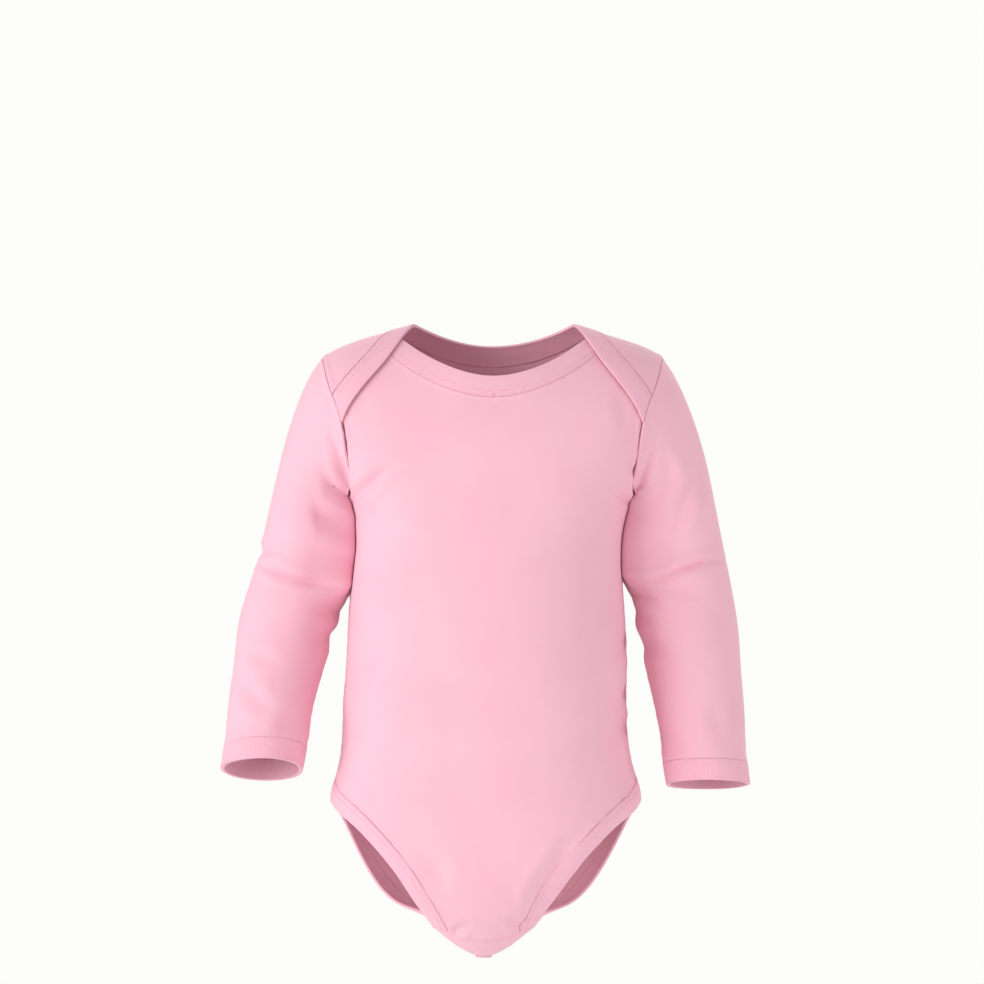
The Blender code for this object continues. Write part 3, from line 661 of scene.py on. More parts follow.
FRONT_CREASES = (
    Crease(((-75.0, -96.5), (-66.0, -87.5), (-56.5, -79.6), (-43.3, -75.4)), 2.6, 2.8, 0.35, ridge=0.45),
    Crease(((-74.5, -104.0), (-63.3, -103.4), (-48.0, -102.4)), 3.0, 1.1, 0.3),
    Crease(((-78.0, -218.4), (-68.6, -216.3), (-57.0, -220.5)), 6.0, 1.6, 0.3),
    Crease(((70.8, -68.2), (73.9, -76.5), (77.5, -84.8)), 2.0, 1.5, 0.7),
    Crease(((61.3, -85.5), (67.6, -91.8), (73.3, -97.9)), 2.0, 1.5, 0.7),
    Crease(((74.8, -166.3), (66.5, -172.6), (56.1, -176.2)), 4.5, 1.3, 0.3),
    Crease(((74.8, -193.7), (67.0, -200.0), (56.6, -203.1)), 4.5, 1.6, 0.3),
    Crease(((61.3, -204.3), (67.6, -213.8), (74.8, -226.3)), 2.4, 1.4, 0.6),
    Crease(((55.7, -260.4), (39.6, -274.9), (33.3, -287.1), (28.0, -296.0), (23.0, -306.5), (14.9, -318.1)),
           4.0, 2.7, 0.72, ridge=0.25),
    Crease(((-66.0, -34.4), (-67.6, -45.8), (-66.0, -60.4)), 3.4, 0.5),
    Crease(((66.6, -31.3), (69.1, -45.8), (68.1, -61.5)), 3.2, 0.7),
    Crease(((4.4, -311.0), (15.3, -319.3)), 1.9, 1.4, 0.8),
    Crease(((-20.8, -322.4), (-8.6, -314.2)), 1.9, 1.4, 0.2),
    Crease(((-42.0, -272.0), (-30.0, -288.0), (-22.0, -304.0)), 4.5, 1.6, 0.6),
)
BACK_CREASES = (
    Crease(((72.0, -92.5), (60.0, -84.5), (44.0, -80.6)), 3.0, 1.5, 0.3, Facing.BACK),
    Crease(((-73.0, -94.5), (-58.0, -88.5), (-46.0, -78.6), (-36.0, -76.0)), 2.8, 1.6, 0.35, Facing.BACK),
    Crease(((71.0, -108.5), (57.0, -107.0), (41.0, -110.6)), 3.6, 1.2, 0.35, Facing.BACK),
    Crease(((-76.0, -170.0), (-52.0, -176.0), (-20.0, -173.0), (8.0, -178.0)), 4.4, 2.2, 0.4, Facing.BACK),
    Crease(((76.0, -158.0), (50.0, -165.0), (22.0, -163.0)), 4.2, 1.9, 0.35, Facing.BACK),
    Crease(((72.0, -186.0), (40.0, -190.0), (6.0, -187.0)), 5.0, 1.5, 0.45, Facing.BACK),
    Crease(((-60.0, -150.0), (-30.0, -154.0), (-4.0, -150.0)), 4.6, 1.2, 0.5, Facing.BACK),
    Crease(((-70.0, -262.0), (-48.0, -272.0), (-30.0, -290.0), (-19.0, -310.0)), 4.4, 2.2, 0.6,
           Facing.BACK),
    Crease(((66.0, -266.0), (44.0, -276.0), (28.0, -294.0), (18.0, -312.0)), 4.2, 2.1, 0.65, Facing.BACK),
    Crease(((-30.0, -30.0), (-8.0, -35.0), (20.0, -32.0)), 4.5, 0.8, 0.5, Facing.BACK),
)
SLEEVE_CREASES = {
    Side.RIGHT: (
        Crease(((-86.8, -50.1), (-84.2, -62.1), (-79.0, -76.8), (-74.0, -92.1)), 2.4, 1.9, 0.72),
        Crease(((-95.4, -76.5), (-86.4, -84.8), (-80.1, -95.5), (-73.8, -101.8)), 3.0, 2.3, 0.65),
        Crease(((-97.5, -91.5), (-88.5, -106.9), (-80.5, -115.9), (-73.0, -121.0)), 3.2, 2.5, 0.6),
        Crease(((-93.9, -121.2), (-83.8, -128.6), (-73.8, -134.5)), 4.5, 3.4, 0.75),
        Crease(((-131.6, -126.1), (-120.0, -131.0), (-106.0, -136.0), (-93.0, -140.0), (-78.0, -146.8)),
               2.0, 2.8, 0.35),
        Crease(((-131.5, -126.9), (-122.5, -121.7), (-112.0, -121.6), (-103.0, -123.8)), 2.2, 1.8, 0.25),
        Crease(((-133.0, -173.6), (-122.8, -177.8), (-109.1, -182.5)), 3.0, 1.2),
        Crease(((-136.6, -182.2), (-126.8, -198.3), (-116.0, -203.5), (-108.6, -200.3)), 3.6, 1.6),
        Crease(((-76.0, -151.1), (-87.2, -154.8), (-101.9, -151.1)), 3.2, 1.6, 0.3),
        Crease(((-79.0, -163.0), (-90.0, -169.0), (-102.0, -170.0)), 3.4, 1.0, 0.4),
        Crease(((-99.0, -206.0), (-108.0, -213.0), (-118.0, -222.0)), 4.0, 1.6, 0.4),
        Crease(((-76.0, -84.0), (-88.0, -92.0), (-100.0, -96.0)), 3.0, 2.3, 0.3, Facing.BACK),
        Crease(((-74.0, -98.0), (-88.0, -110.0), (-104.0, -116.0)), 3.4, 2.6, 0.35, Facing.BACK),
        Crease(((-76.0, -120.0), (-90.0, -127.0), (-108.0, -127.0)), 3.6, 2.8, 0.35, Facing.BACK),
        Crease(((-80.0, -142.0), (-98.0, -139.0), (-122.0, -148.0)), 3.0, 2.3, 0.6, Facing.BACK),
        Crease(((-134.0, -170.0), (-120.0, -178.0), (-104.0, -180.0)), 4.0, 2.2, 0.4, Facing.BACK),
        Crease(((-100.0, -206.0), (-114.0, -214.0), (-130.0, -214.0)), 3.6, 1.6, 0.5, Facing.BACK),
    ),
    Side.LEFT: (
        Crease(((89.1, -56.8), (85.0, -69.4), (80.6, -81.1), (75.9, -95.9)), 1.8, 1.4, 0.6),
        Crease(((91.4, -66.4), (93.5, -82.7), (90.9, -98.5)), 3.2, 1.9, 0.5),
        Crease(((107.7, -72.4), (103.5, -92.5), (97.1, -109.4), (92.0, -121.5)), 3.6, 2.0, 0.5, ridge=0.5),
        Crease(((128.8, -128.5), (118.5, -126.9), (108.4, -129.2), (98.8, -132.9), (89.7, -137.7),
                (76.0, -143.0)), 1.9, 3.1, 0.4),
        Crease(((76.6, -141.6), (87.1, -148.9), (97.0, -152.1)), 3.0, 1.7, 0.35),
        Crease(((72.6, -149.5), (80.0, -156.2), (90.4, -158.3)), 3.0, 1.5, 0.3),
        Crease(((116.5, -197.3), (119.6, -213.0), (123.8, -229.3)), 3.6, 1.0),
        Crease(((88.0, -214.0), (96.0, -222.0), (104.0, -236.0)), 4.0, 1.2),
        Crease(((78.0, -168.0), (88.0, -174.0), (99.0, -174.0)), 3.2, 0.8, 0.4),
        Crease(((76.0, -86.0), (90.0, -90.0), (102.0, -98.0)), 3.0, 2.3, 0.3, Facing.BACK),
        Crease(((74.0, -100.0), (90.0, -106.0), (108.0, -108.0)), 3.4, 2.6, 0.35, Facing.BACK),
        Crease(((74.0, -116.0), (88.0, -126.0), (102.0, -130.0)), 3.4, 2.6, 0.3, Facing.BACK),
        Crease(((76.0, -146.0), (96.0, -142.0), (120.0, -146.0)), 3.0, 2.3, 0.55, Facing.BACK),
        Crease(((128.0, -176.0), (112.0, -184.0), (98.0, -184.0)), 4.0, 2.2, 0.4, Facing.BACK),
        Crease(((96.0, -214.0), (112.0, -220.0), (126.0, -216.0)), 3.6, 1.6, 0.5, Facing.BACK),
    ),
}

# Heights (z) between which each sleeve's underarm lies against the body: from, fully from, fully to, to
NESTLE = {Side.RIGHT: (-90.0, -100.0, -140.0, -154.0), Side.LEFT: (-90.0, -100.0, -134.0, -148.0)}


class Relief:
    """Everything that moves the cloth off its plain form: creases, seams and an easy waviness."""

    # Each wave: its direction and rate, its phase and its height
    WAVES = (((0.165, 0.0, 0.052), 0.4, 0.10), ((0.061, 0.12, 0.10), 1.9, 0.12),
             ((-0.083, 0.05, 0.071), 3.1, 0.12))

    def __init__(self, creases: Sequence[Crease], seams: Sequence[SeamLine]) -> None:
        """Keep the creases and seams of a piece."""
        self.creases, self.seams = creases, seams

    def lift(self, points: np.ndarray, normals: np.ndarray) -> np.ndarray:
        """Return how far the cloth stands off its plain form, in the shape of the points given.

        Args:
            points: points of the plain form, in any grid.
            normals: outward directions there.

        Returns:
            The lift at each point.
        """
        flat, ways = points.reshape(-1, 3), normals.reshape(-1, 3)
        rise = sum(size * np.sin(flat @ np.array(way) + turn) for way, turn, size in self.WAVES)
        for crease in self.creases:
            rise -= crease.press(flat, ways)
        for seam in self.seams:
            rise += seam.lift(flat)
        return rise.reshape(points.shape[:-1])


@dataclass
class Swatch:
    """A rectangular run of cloth: points of its inner face, outward directions and flat places."""

    points: np.ndarray
    normals: np.ndarray
    flat: np.ndarray

    def sew_into(self, cloth: bmesh.types.BMesh) -> None:
        """Add the run to a piece as a grid, its faces outwards.

        Args:
            cloth: mesh of the piece, in metres.
        """
        corner = self.points[:-1, :-1]
        over = np.cross(self.points[:-1, 1:] - corner, self.points[1:, :-1] - corner)
        turned = (over * self.normals[:-1, :-1]).sum() < 0
        points, flat = (self.points[:, ::-1], self.flat[:, ::-1]) if turned else (self.points, self.flat)
        rows, columns = points.shape[:2]
        verts = bmesh.ops.create_grid(cloth, x_segments=columns - 1, y_segments=rows - 1, size=0.5)["verts"]
        layer = cloth.loops.layers.uv.verify()
        first = len(cloth.verts) - len(verts)
        cloth.verts.index_update()
        spots, grain = points.reshape(-1, 3) * MILLIMETRE, flat.reshape(-1, 2) * MILLIMETRE
        for vert, spot in zip(verts, spots):
            vert.co = spot
        for face in {face for vert in verts for face in vert.link_faces}:
            for loop in face.loops:
                loop[layer].uv = grain[loop.vert.index - first]


@dataclass(frozen=True)
class KnitFinish:
    """A knit: its colour and the size of its loops, in millimetres."""

    name: str
    colour: tuple[float, float, float]
    deep: tuple[float, float, float]           # darker colour mixed in for random dye clouds and fibre specks, and as painted shade in the hollows between the loops
    wale: float = 0.85                         # width of a column of loops
    course: float = 0.7                        # height of a row of loops
    relief: float = 0.11                       # height of the loops
    roughness: float = 0.82
    specular: float = 0.25
    sheen: float = 0.3
    sheen_roughness: float = 0.45
    sheen_tint: tuple[float, float, float] = (1.0, 0.86, 0.91)
    bump: float = 0.55

    def material(self) -> bpy.types.Material:
        """Build the shader of the knit.

        Returns:
            The material, which reads the cloth's flat places and object places.
        """
        material = bpy.data.materials.new(self.name)
        material.use_nodes = True
        tree = material.node_tree
        shader = tree.nodes["Principled BSDF"]
        for name, value in (("Roughness", self.roughness), ("Specular IOR Level", self.specular),
                            ("Sheen Weight", self.sheen), ("Sheen Roughness", self.sheen_roughness),
                            ("Sheen Tint", (*self.sheen_tint, 1.0))):
            shader.inputs[name].default_value = value
        grain = tree.nodes.new("ShaderNodeUVMap")
        loops = tree.nodes.new("ShaderNodeGroup")
        loops.node_tree = knit_loops()
        loops.inputs["Wale"].default_value = self.wale * MILLIMETRE
        loops.inputs["Course"].default_value = self.course * MILLIMETRE
        place = tree.nodes.new("ShaderNodeTexCoord")
        lint_and_shade_node = tree.nodes.new("ShaderNodeGroup")
        lint_and_shade_node.node_tree = cloth_lint()
        lint_and_shade_node.inputs["Colour"].default_value = (*self.colour, 1.0)
        lint_and_shade_node.inputs["Deep"].default_value = (*self.deep, 1.0)
        bump = tree.nodes.new("ShaderNodeBump")
        bump.inputs["Strength"].default_value = self.bump
        bump.inputs["Distance"].default_value = self.relief * MILLIMETRE
        link = tree.links.new
        link(grain.outputs["UV"], loops.inputs["Grain"])
        link(place.outputs["Object"], lint_and_shade_node.inputs["Place"])
        link(loops.outputs["Height"], lint_and_shade_node.inputs["Loops"])
        link(lint_and_shade_node.outputs["Colour"], shader.inputs["Base Color"])
        link(lint_and_shade_node.outputs["Height"], bump.inputs["Height"])
        link(bump.outputs["Normal"], shader.inputs["Normal"])
        return material


class GroupBuilder:
    """Builds a shader node group from sums of values."""

    def __init__(self, name: str) -> None:
        """Start an empty group.

        Args:
            name: name of the group.
        """
        self.tree = bpy.data.node_groups.new(name, "ShaderNodeTree")
        self.source = self.tree.nodes.new("NodeGroupInput")
        self.result = self.tree.nodes.new("NodeGroupOutput")

    def socket(self, name: str, kind: str, outgoing: bool = False) -> None:
        """Add a named socket of a kind such as Float, Color or Vector."""
        way = "OUTPUT" if outgoing else "INPUT"
        self.tree.interface.new_socket(name, in_out=way, socket_type=f"NodeSocket{kind}")

    def math(self, operation: str, *values: object) -> bpy.types.NodeSocket:
        """Return the output of a maths node fed by sockets or numbers.

        Args:
            operation: what the node does.
            *values: sockets or numbers, in the order of its inputs.

        Returns:
            Its output.
        """
        node = self.tree.nodes.new("ShaderNodeMath")
        node.operation = operation
        for slot, value in zip(node.inputs, values):
            if isinstance(value, bpy.types.NodeSocket):
                self.tree.links.new(value, slot)
            else:
                slot.default_value = value
        return node.outputs[0]

    def noise(self, place: bpy.types.NodeSocket, scale: float, detail: float) -> bpy.types.NodeSocket:
        """Return a noise value at a place.

        Args:
            place: where it is read.
            scale: how fine it is.
            detail: its octaves.

        Returns:
            Its output, from 0 to 1.
        """
        node = self.tree.nodes.new("ShaderNodeTexNoise")
        node.inputs["Scale"].default_value = scale
        node.inputs["Detail"].default_value = detail
        self.tree.links.new(place, node.inputs["Vector"])
        return node.outputs["Fac"]


def knit_loops() -> bpy.types.ShaderNodeTree:
    """Build the group that turns flat cloth places into the height of the V-shaped loops.

    Returns:
        The group, made once.
    """
    if "knit_loops" in bpy.data.node_groups:
        return bpy.data.node_groups["knit_loops"]
    group = GroupBuilder("knit_loops")
    group.socket("Grain", "Vector")
    group.socket("Wale", "Float")
    group.socket("Course", "Float")
    group.socket("Height", "Float", outgoing=True)
    split = group.tree.nodes.new("ShaderNodeSeparateXYZ")
    group.tree.links.new(group.source.outputs["Grain"], split.inputs[0])
    across = group.math("DIVIDE", split.outputs["X"], group.source.outputs["Wale"])
    up = group.math("DIVIDE", split.outputs["Y"], group.source.outputs["Course"])
    splay, swing, mean = 1.1, 0.28, 0.62       # lean of a loop's legs, and how its height goes up and down
    off = group.math("ABSOLUTE", group.math("SUBTRACT", group.math("FRACT", across), 0.5))
    leg = group.math("SINE", group.math("MULTIPLY", off, 2 * math.pi))
    slant = group.math("ADD", up, group.math("MULTIPLY", off, splay))
    loop = group.math("SINE", group.math("MULTIPLY", slant, 2 * math.pi))
    body = group.math("MULTIPLY_ADD", loop, swing, mean)
    height = group.math("MULTIPLY", leg, body)
    group.tree.links.new(height, group.result.inputs["Height"])
    return group.tree


def cloth_lint() -> bpy.types.ShaderNodeTree:
    """Build the group that adds fibre fuzz, the faint unevenness of the dye, and painted shade in the
    hollows between the knit's loops to a surface.

    Returns:
        The group, made once.
    """
    if "cloth_lint" in bpy.data.node_groups:
        return bpy.data.node_groups["cloth_lint"]
    group = GroupBuilder("cloth_lint")
    group.socket("Place", "Vector")
    group.socket("Loops", "Float")
    group.socket("Colour", "Color")
    group.socket("Deep", "Color")
    group.socket("Colour", "Color", outgoing=True)
    group.socket("Height", "Float", outgoing=True)
    place = group.source.outputs["Place"]
    dye_swing, dye_mean, painted_hollow_shade_share, speck_share, fuzz_height = 0.5, 0.16, 0.12, 0.25, 0.55
    fuzz = group.noise(place, 2600.0, 3.0)
    cloud = group.noise(place, 34.0, 4.0)
    dye = group.math("MULTIPLY_ADD", group.math("SUBTRACT", cloud, 0.5), dye_swing, dye_mean)
    below = group.math("SUBTRACT", 1.0, group.source.outputs["Loops"])
    # painted shade: the colour darkens toward the deep colour where the loops are low, in the hollows
    # between them
    painted_hollow_shade = group.math("MULTIPLY", below, painted_hollow_shade_share)
    speck = group.math("MULTIPLY", group.math("SUBTRACT", fuzz, 0.5), speck_share)
    share = group.math("ADD", group.math("ADD", dye, painted_hollow_shade), speck)
    mix = group.tree.nodes.new("ShaderNodeMix")
    mix.data_type = "RGBA"
    group.tree.links.new(share, mix.inputs[0])
    group.tree.links.new(group.source.outputs["Colour"], mix.inputs[6])
    group.tree.links.new(group.source.outputs["Deep"], mix.inputs[7])
    group.tree.links.new(mix.outputs[2], group.result.inputs["Colour"])
    height = group.math("MULTIPLY_ADD", fuzz, fuzz_height, group.source.outputs["Loops"])
    group.tree.links.new(height, group.result.inputs["Height"])
    return group.tree


@dataclass(frozen=True)
class SmoothFinish:
    """A moulded or spun finish with a faint fine grain."""

    name: str
    colour: tuple[float, float, float]
    roughness: float
    shade: float = 0.9                         # darkest of the grain, as a share of the colour
    relief: float = 0.04                       # height of the grain, in millimetres
    bump: float = 0.3

    def material(self) -> bpy.types.Material:
        """Build the shader of the finish.

        Returns:
            The material, which reads object places.
        """
        material = bpy.data.materials.new(self.name)
        material.use_nodes = True
        tree = material.node_tree
        shader = tree.nodes["Principled BSDF"]
        shader.inputs["Roughness"].default_value = self.roughness
        place = tree.nodes.new("ShaderNodeTexCoord")
        lint_and_shade_node = tree.nodes.new("ShaderNodeGroup")
        lint_and_shade_node.node_tree = cloth_lint()
        lint_and_shade_node.inputs["Loops"].default_value = 0.6
        lint_and_shade_node.inputs["Colour"].default_value = (*self.colour, 1.0)
        lint_and_shade_node.inputs["Deep"].default_value = (*(self.shade * part for part in self.colour), 1.0)
        bump = tree.nodes.new("ShaderNodeBump")
        bump.inputs["Strength"].default_value = self.bump
        bump.inputs["Distance"].default_value = self.relief * MILLIMETRE
        tree.links.new(place.outputs["Object"], lint_and_shade_node.inputs["Place"])
        tree.links.new(lint_and_shade_node.outputs["Colour"], shader.inputs["Base Color"])
        tree.links.new(lint_and_shade_node.outputs["Height"], bump.inputs["Height"])
        tree.links.new(bump.outputs["Normal"], shader.inputs["Normal"])
        return material


# Second colour of each knit: darker dye clouds and fibre specks, and painted shade in the hollows between
# its loops
JERSEY = KnitFinish("jersey_knit", (0.945, 0.545, 0.645), (0.84, 0.40, 0.51))
BINDING = KnitFinish("binding_knit", (0.945, 0.54, 0.645), (0.83, 0.39, 0.50), wale=0.8, course=0.66)
CUFF_RIB = KnitFinish("cuff_rib", (0.94, 0.53, 0.635), (0.81, 0.37, 0.48), wale=0.8, relief=0.18)
THREAD = SmoothFinish("sewing_thread", (0.93, 0.50, 0.61), 0.6)
SNAP_SHELL = SmoothFinish("snap_shell", (0.90, 0.62, 0.70), 0.32)


class Workshop:
    """Makes finished pieces: gives them a wall, a finish, and their place on the frame."""

    def __init__(self) -> None:
        """Start with no finishes made."""
        self.finishes: dict[str, bpy.types.Material] = {}

    def dress(self, item: bpy.types.Object, finish: KnitFinish | SmoothFinish) -> None:
        """Give a piece its finish.

        Args:
            item: the piece.
            finish: what it is made of.
        """
        if finish.name not in self.finishes:
            self.finishes[finish.name] = finish.material()
        item.data.materials.append(self.finishes[finish.name])

    def piece(self, name: str, shape: bmesh.types.BMesh, finish: KnitFinish | SmoothFinish, slot: str,
              nodes: Sequence[str] = ()) -> bpy.types.Object:
        """Turn a finished bmesh into a piece that rides on the frame.

        Args:
            name: name of the piece.
            shape: its mesh, in metres, which is freed.
            finish: what it is made of.
            slot: material slot of the record; not used.
            nodes: solids that it stands for.

        Returns:
            The piece.
        """
        mesh = bpy.data.meshes.new(name)
        shape.to_mesh(mesh)
        shape.free()
        mesh.shade_smooth()
        item = bpy.data.objects.new(name, mesh)
        bpy.context.scene.collection.objects.link(item)
        self.dress(item, finish)
        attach(item, "root")
        if nodes:
            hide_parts(*nodes)
        LOG.info("%s: %d points, %d faces", name, len(mesh.vertices), len(mesh.polygons))
        return item

    def cloth(self, name: str, swatches: Sequence[Swatch], thickness: float, finish: KnitFinish, slot: str,
              nodes: Sequence[str], rim: float) -> bpy.types.Object:
        """Sew runs of cloth into one wall with soft rims.

        Args:
            name: name of the piece.
            swatches: its runs, which share their meeting points.
            thickness: wall outwards from the runs.
            finish: the knit.
            slot: material slot of the record; not used.
            nodes: solids that it stands for.
            rim: rounding of its edges.

        Returns:
            The piece.
        """
        shape = bmesh.new()
        for swatch in swatches:
            swatch.sew_into(shape)
        bmesh.ops.remove_doubles(shape, verts=shape.verts, dist=0.002 * MILLIMETRE)
        item = self.piece(name, shape, finish, slot, nodes)
        wall = item.modifiers.new("wall", "SOLIDIFY")
        wall.thickness, wall.offset, wall.use_quality_normals = thickness * MILLIMETRE, 1.0, True
        edge = item.modifiers.new("rim", "BEVEL")
        edge.width, edge.segments, edge.profile = rim * MILLIMETRE, 3, 0.5
        edge.limit_method, edge.angle_limit = "ANGLE", math.radians(60.0)
        return item


def blended(bottom: np.ndarray, top: np.ndarray, left: np.ndarray, right: np.ndarray) -> np.ndarray:
    """Blend a grid of angle and height from its four sides.

    Args:
        bottom: first row.
        top: last row.
        left: first column.
        right: last column.

    Returns:
        The grid, rows from bottom to top.
    """
    u = np.linspace(0.0, 1.0, len(bottom))[None, :, None]
    v = np.linspace(0.0, 1.0, len(left))[:, None, None]
    rows = (1 - u) * left[:, None] + u * right[:, None]
    columns = (1 - v) * bottom[None] + v * top[None]
    corners = ((1 - u) * (1 - v) * bottom[0] + u * (1 - v) * bottom[-1]
               + (1 - u) * v * top[0] + u * v * top[-1])
    return rows + columns - corners


@dataclass
class BodyPiece:
    """A piece that lies on the garment surface: finds its points and lifts them with its relief."""

    form: GarmentForm
    relief: Relief
    lift: Callable[[np.ndarray], np.ndarray]   # height above the worn surface at rows of angle and height
    centre: float = 0.0                        # angle of its middle line

    def swatch(self, places: np.ndarray, extra: np.ndarray | float = 0.0) -> Swatch:
        """Return the run of cloth at a grid of places.

        Args:
            places: angle and height of each point.
            extra: how much further out each point lies.

        Returns:
            The run.
        """
        base, normals = self.form.skin(places)
        rise = self.lift(places) + self.relief.lift(base, normals) + extra
        return Swatch(base + normals * rise[..., None], normals, self.form.grain(places, self.centre))

    def line(self, places: np.ndarray, above: float) -> tuple[np.ndarray, np.ndarray]:
        """Return points and outward directions along a line of places, a height above the inner face."""
        run = self.swatch(places[None])
        return run.points[0] + run.normals[0] * above, run.normals[0]


def level(height: float) -> Callable[[np.ndarray], np.ndarray]:
    """Return a lift that is the same at every place."""
    return lambda places: np.full(places.shape[:-1], height)


@dataclass
class Panel:
    """Front or back of the body with both its shoulder laps."""

    neck: NeckEdge
    leg: LegEdge
    body: BodyPiece
    hip: float = 106.0             # heights at the centre line, level with the hip,
    chest: float = 250.0           # with the foot of the armhole
    yoke: float = 312.0            # and with its top
    sag: float = 0.3               # how far the centre line follows the leg's edge
    side_gap: float = 0.02         # degrees from the side line to the panel's edge
    crowding: float = 1.25         # how far the columns crowd towards the edge
    smoothing: int = 7 * FINE + 1  # rows over which the middle evens out the edge's width
    follow: float = 2.4            # powers by which the columns come to follow the edge's width
    bow: float = 1.7               # and the rows its height, from the centre line outwards
    close: int = 6                 # and the rows come to follow the neck seam, from the foot upwards

    def neck_run(self) -> tuple[np.ndarray, np.ndarray]:
        """Divide the neck seam.

        Returns:
            Shares of the half width, one for each column, and the places of the neck seam at them.
        """
        across = np.linspace(0.0, 1.0, PANEL_COLUMNS // 2 * FINE + 1)
        across = 1.0 - (1.0 - across) ** self.crowding
        seam = self.neck.seam
        return across, point(seam, self.body.form.spread(seam, 0.0, self.neck.line, across))

    def side_run(self, top: np.ndarray) -> tuple[np.ndarray, np.ndarray, np.ndarray]:
        """Trace the edge on the -X side, from the tab's corner up to the neck seam.

        Args:
            top: places of the neck seam.

        Returns:
            The places of the edge, the heights of its rows at the centre line, and its shoulder part.
        """
        form, neck, leg = self.body.form, self.neck, self.leg
        stretch = (leg.start if neck.facing is Facing.FRONT else leg.end, leg.side)
        leg_part = point(leg.seam, form.spread(leg.seam, *stretch, LEG_ROWS * FINE))
        armhole = neck.side_loop[::-1].copy()
        leg_part[-1, 0] = armhole[0, 0] = -90.0 + neck.sign * self.side_gap
        side_line = np.linspace(leg_part[-1], armhole[0], SIDE_ROWS * FINE + 1)
        shoulder = np.linspace(armhole[-1], top[-1], SHOULDER_ROWS * FINE + 1)
        edge = np.vstack([leg_part[:-1], side_line[:-1], armhole[:-1], shoulder])
        level_rows = np.linspace(leg_part[0, 1], self.hip, len(leg_part))
        middle = np.concatenate([
            (self.sag * leg_part[:, 1] + (1.0 - self.sag) * level_rows)[:-1],
            np.linspace(self.hip, self.chest, len(side_line))[:-1],
            np.linspace(self.chest, self.yoke, len(armhole))[:-1],
            np.linspace(self.yoke, top[0, 1], len(shoulder))])
        return edge, middle, shoulder

    def grid(self, across: np.ndarray, top: np.ndarray, edge: np.ndarray, middle: np.ndarray) -> np.ndarray:
        """Fill the panel between its edges, the columns following the edge only close to it.

        Args:
            across: share of the half width of each column.
            top: places of the neck seam.
            edge: places of the edge on the -X side.
            middle: heights of the rows at the centre line.

        Returns:
            The grid of places from side to side.
        """
        centre = self.neck.centre
        reach = edge[:, 0] - centre
        window = np.full(self.smoothing, 1 / self.smoothing)
        even = np.convolve(np.pad(reach, self.smoothing // 2, "edge"), window, "valid")
        half = np.empty((len(edge), len(across), 2))
        half[..., 0] = centre + even[:, None] * across + (reach - even)[:, None] * across ** self.follow
        half[..., 1] = middle[:, None] + (edge[:, 1:] - middle[:, None]) * across ** self.bow
        half += (top - half[-1])[None] * (np.linspace(0.0, 1.0, len(edge))[:, None, None] ** self.close)
        half[:, -1] = edge
        return np.concatenate([mirrored(half[:, :0:-1], centre), half], axis=1)

    def ear(self, shoulder: np.ndarray) -> np.ndarray:
        """Fill the shoulder lap on the -X side.

        Args:
            shoulder: the line where it leaves the panel, from the armhole to the neck seam.

        Returns:
            The grid of places of the lap.
        """
        form, neck = self.body.form, self.neck
        lap = np.vstack([neck.loop, point(neck.seam, neck.end)[None]])
        lap_edge = form.spread(neck.seam, neck.fork, neck.end, len(shoulder) - 1)[::-1]
        lap_root = form.spread(neck.seam, neck.line, neck.fork, len(lap) - 1)
        return blended(shoulder, point(neck.seam, lap_edge), lap, point(neck.seam, lap_root))

    def build(self, shop: Workshop) -> bpy.types.Object:
        """Cut the panel.

        Args:
            shop: makes the piece.

        Returns:
            The panel with both laps.
        """
        across, top = self.neck_run()
        edge, middle, shoulder = self.side_run(top)
        ear = self.ear(shoulder)
        grids = (self.grid(across, top, edge, middle), ear, mirrored(ear, self.neck.centre))
        name = self.neck.facing.word
        return shop.cloth(f"{name}_panel", [self.body.swatch(places) for places in grids], PANEL, JERSEY,
                          "jersey", [name], 0.4)


@dataclass
class Binding:
    """A folded strip of knit round a neck or leg edge, sewn down along its inner side."""

    name: str
    node: str
    lines: Callable[[float, int], np.ndarray]  # line of places at a distance across, in equal steps
    width: float
    body: BodyPiece
    from_edge: bool                            # its lines count from the garment's edge, not from the seam
    rows: int = 15
    crowding: float = 0.055                    # how far the rows crowd towards both sides
    swell: float = 0.28                        # how far the fold stands out along its middle
    edge: float = -0.12                        # and along its sides
    clear: float = 1.4                         # grooves between the end of the seam's gap and its side

    def distances(self) -> np.ndarray:
        """Return the distances of the rows across the strip."""
        share = np.linspace(0.0, 1.0, self.rows)
        return (share - self.crowding * np.sin(2 * np.pi * share)) * self.width

    def bulge(self, distance: np.ndarray) -> np.ndarray:
        """Return the rounding of the folded strip at distances across it."""
        share = distance / self.width
        return self.swell * (1.0 - (2 * share - 1.0) ** 4) + self.edge

    def build(self, shop: Workshop, mirror: bool = False) -> bpy.types.Object:
        """Fold the strip.

        Args:
            shop: makes the piece.
            mirror: turn it over to the +X side.

        Returns:
            The binding.
        """
        distances = self.distances()
        if self.from_edge:
            places = distances * (1.0 - GROOVE / self.width)
        else:
            places = distances + SEAM + self.clear * GROOVE
        grid = np.stack([self.lines(place, BINDING_STEPS) for place in places])
        grid = mirrored(grid) if mirror else grid
        run = self.body.swatch(grid, self.bulge(distances)[:, None])
        lengths = np.linalg.norm(np.diff(run.points[self.rows // 2], axis=0), axis=1)
        along = np.concatenate([[0.0], np.cumsum(lengths)])
        run.flat = np.stack(np.broadcast_arrays(along[None, :], distances[:, None]), -1)
        return shop.cloth(self.name, [run], RIB, BINDING, "rib", [self.node], 0.6)

    def stitch_line(self, distance: float, mirror: bool = False) -> tuple[np.ndarray, np.ndarray]:
        """Trace a row of stitches on the outside of the strip.

        Args:
            distance: how far it runs from the sewn side.
            mirror: turn it over to the +X side.

        Returns:
            Points of the row and the outward directions there.
        """
        line = self.lines(self.width - distance if self.from_edge else distance + SEAM, BINDING_STEPS)
        line = mirrored(line) if mirror else line
        bulge = float(self.bulge(np.array(self.width - distance)))
        return self.body.line(line, RIB + bulge)


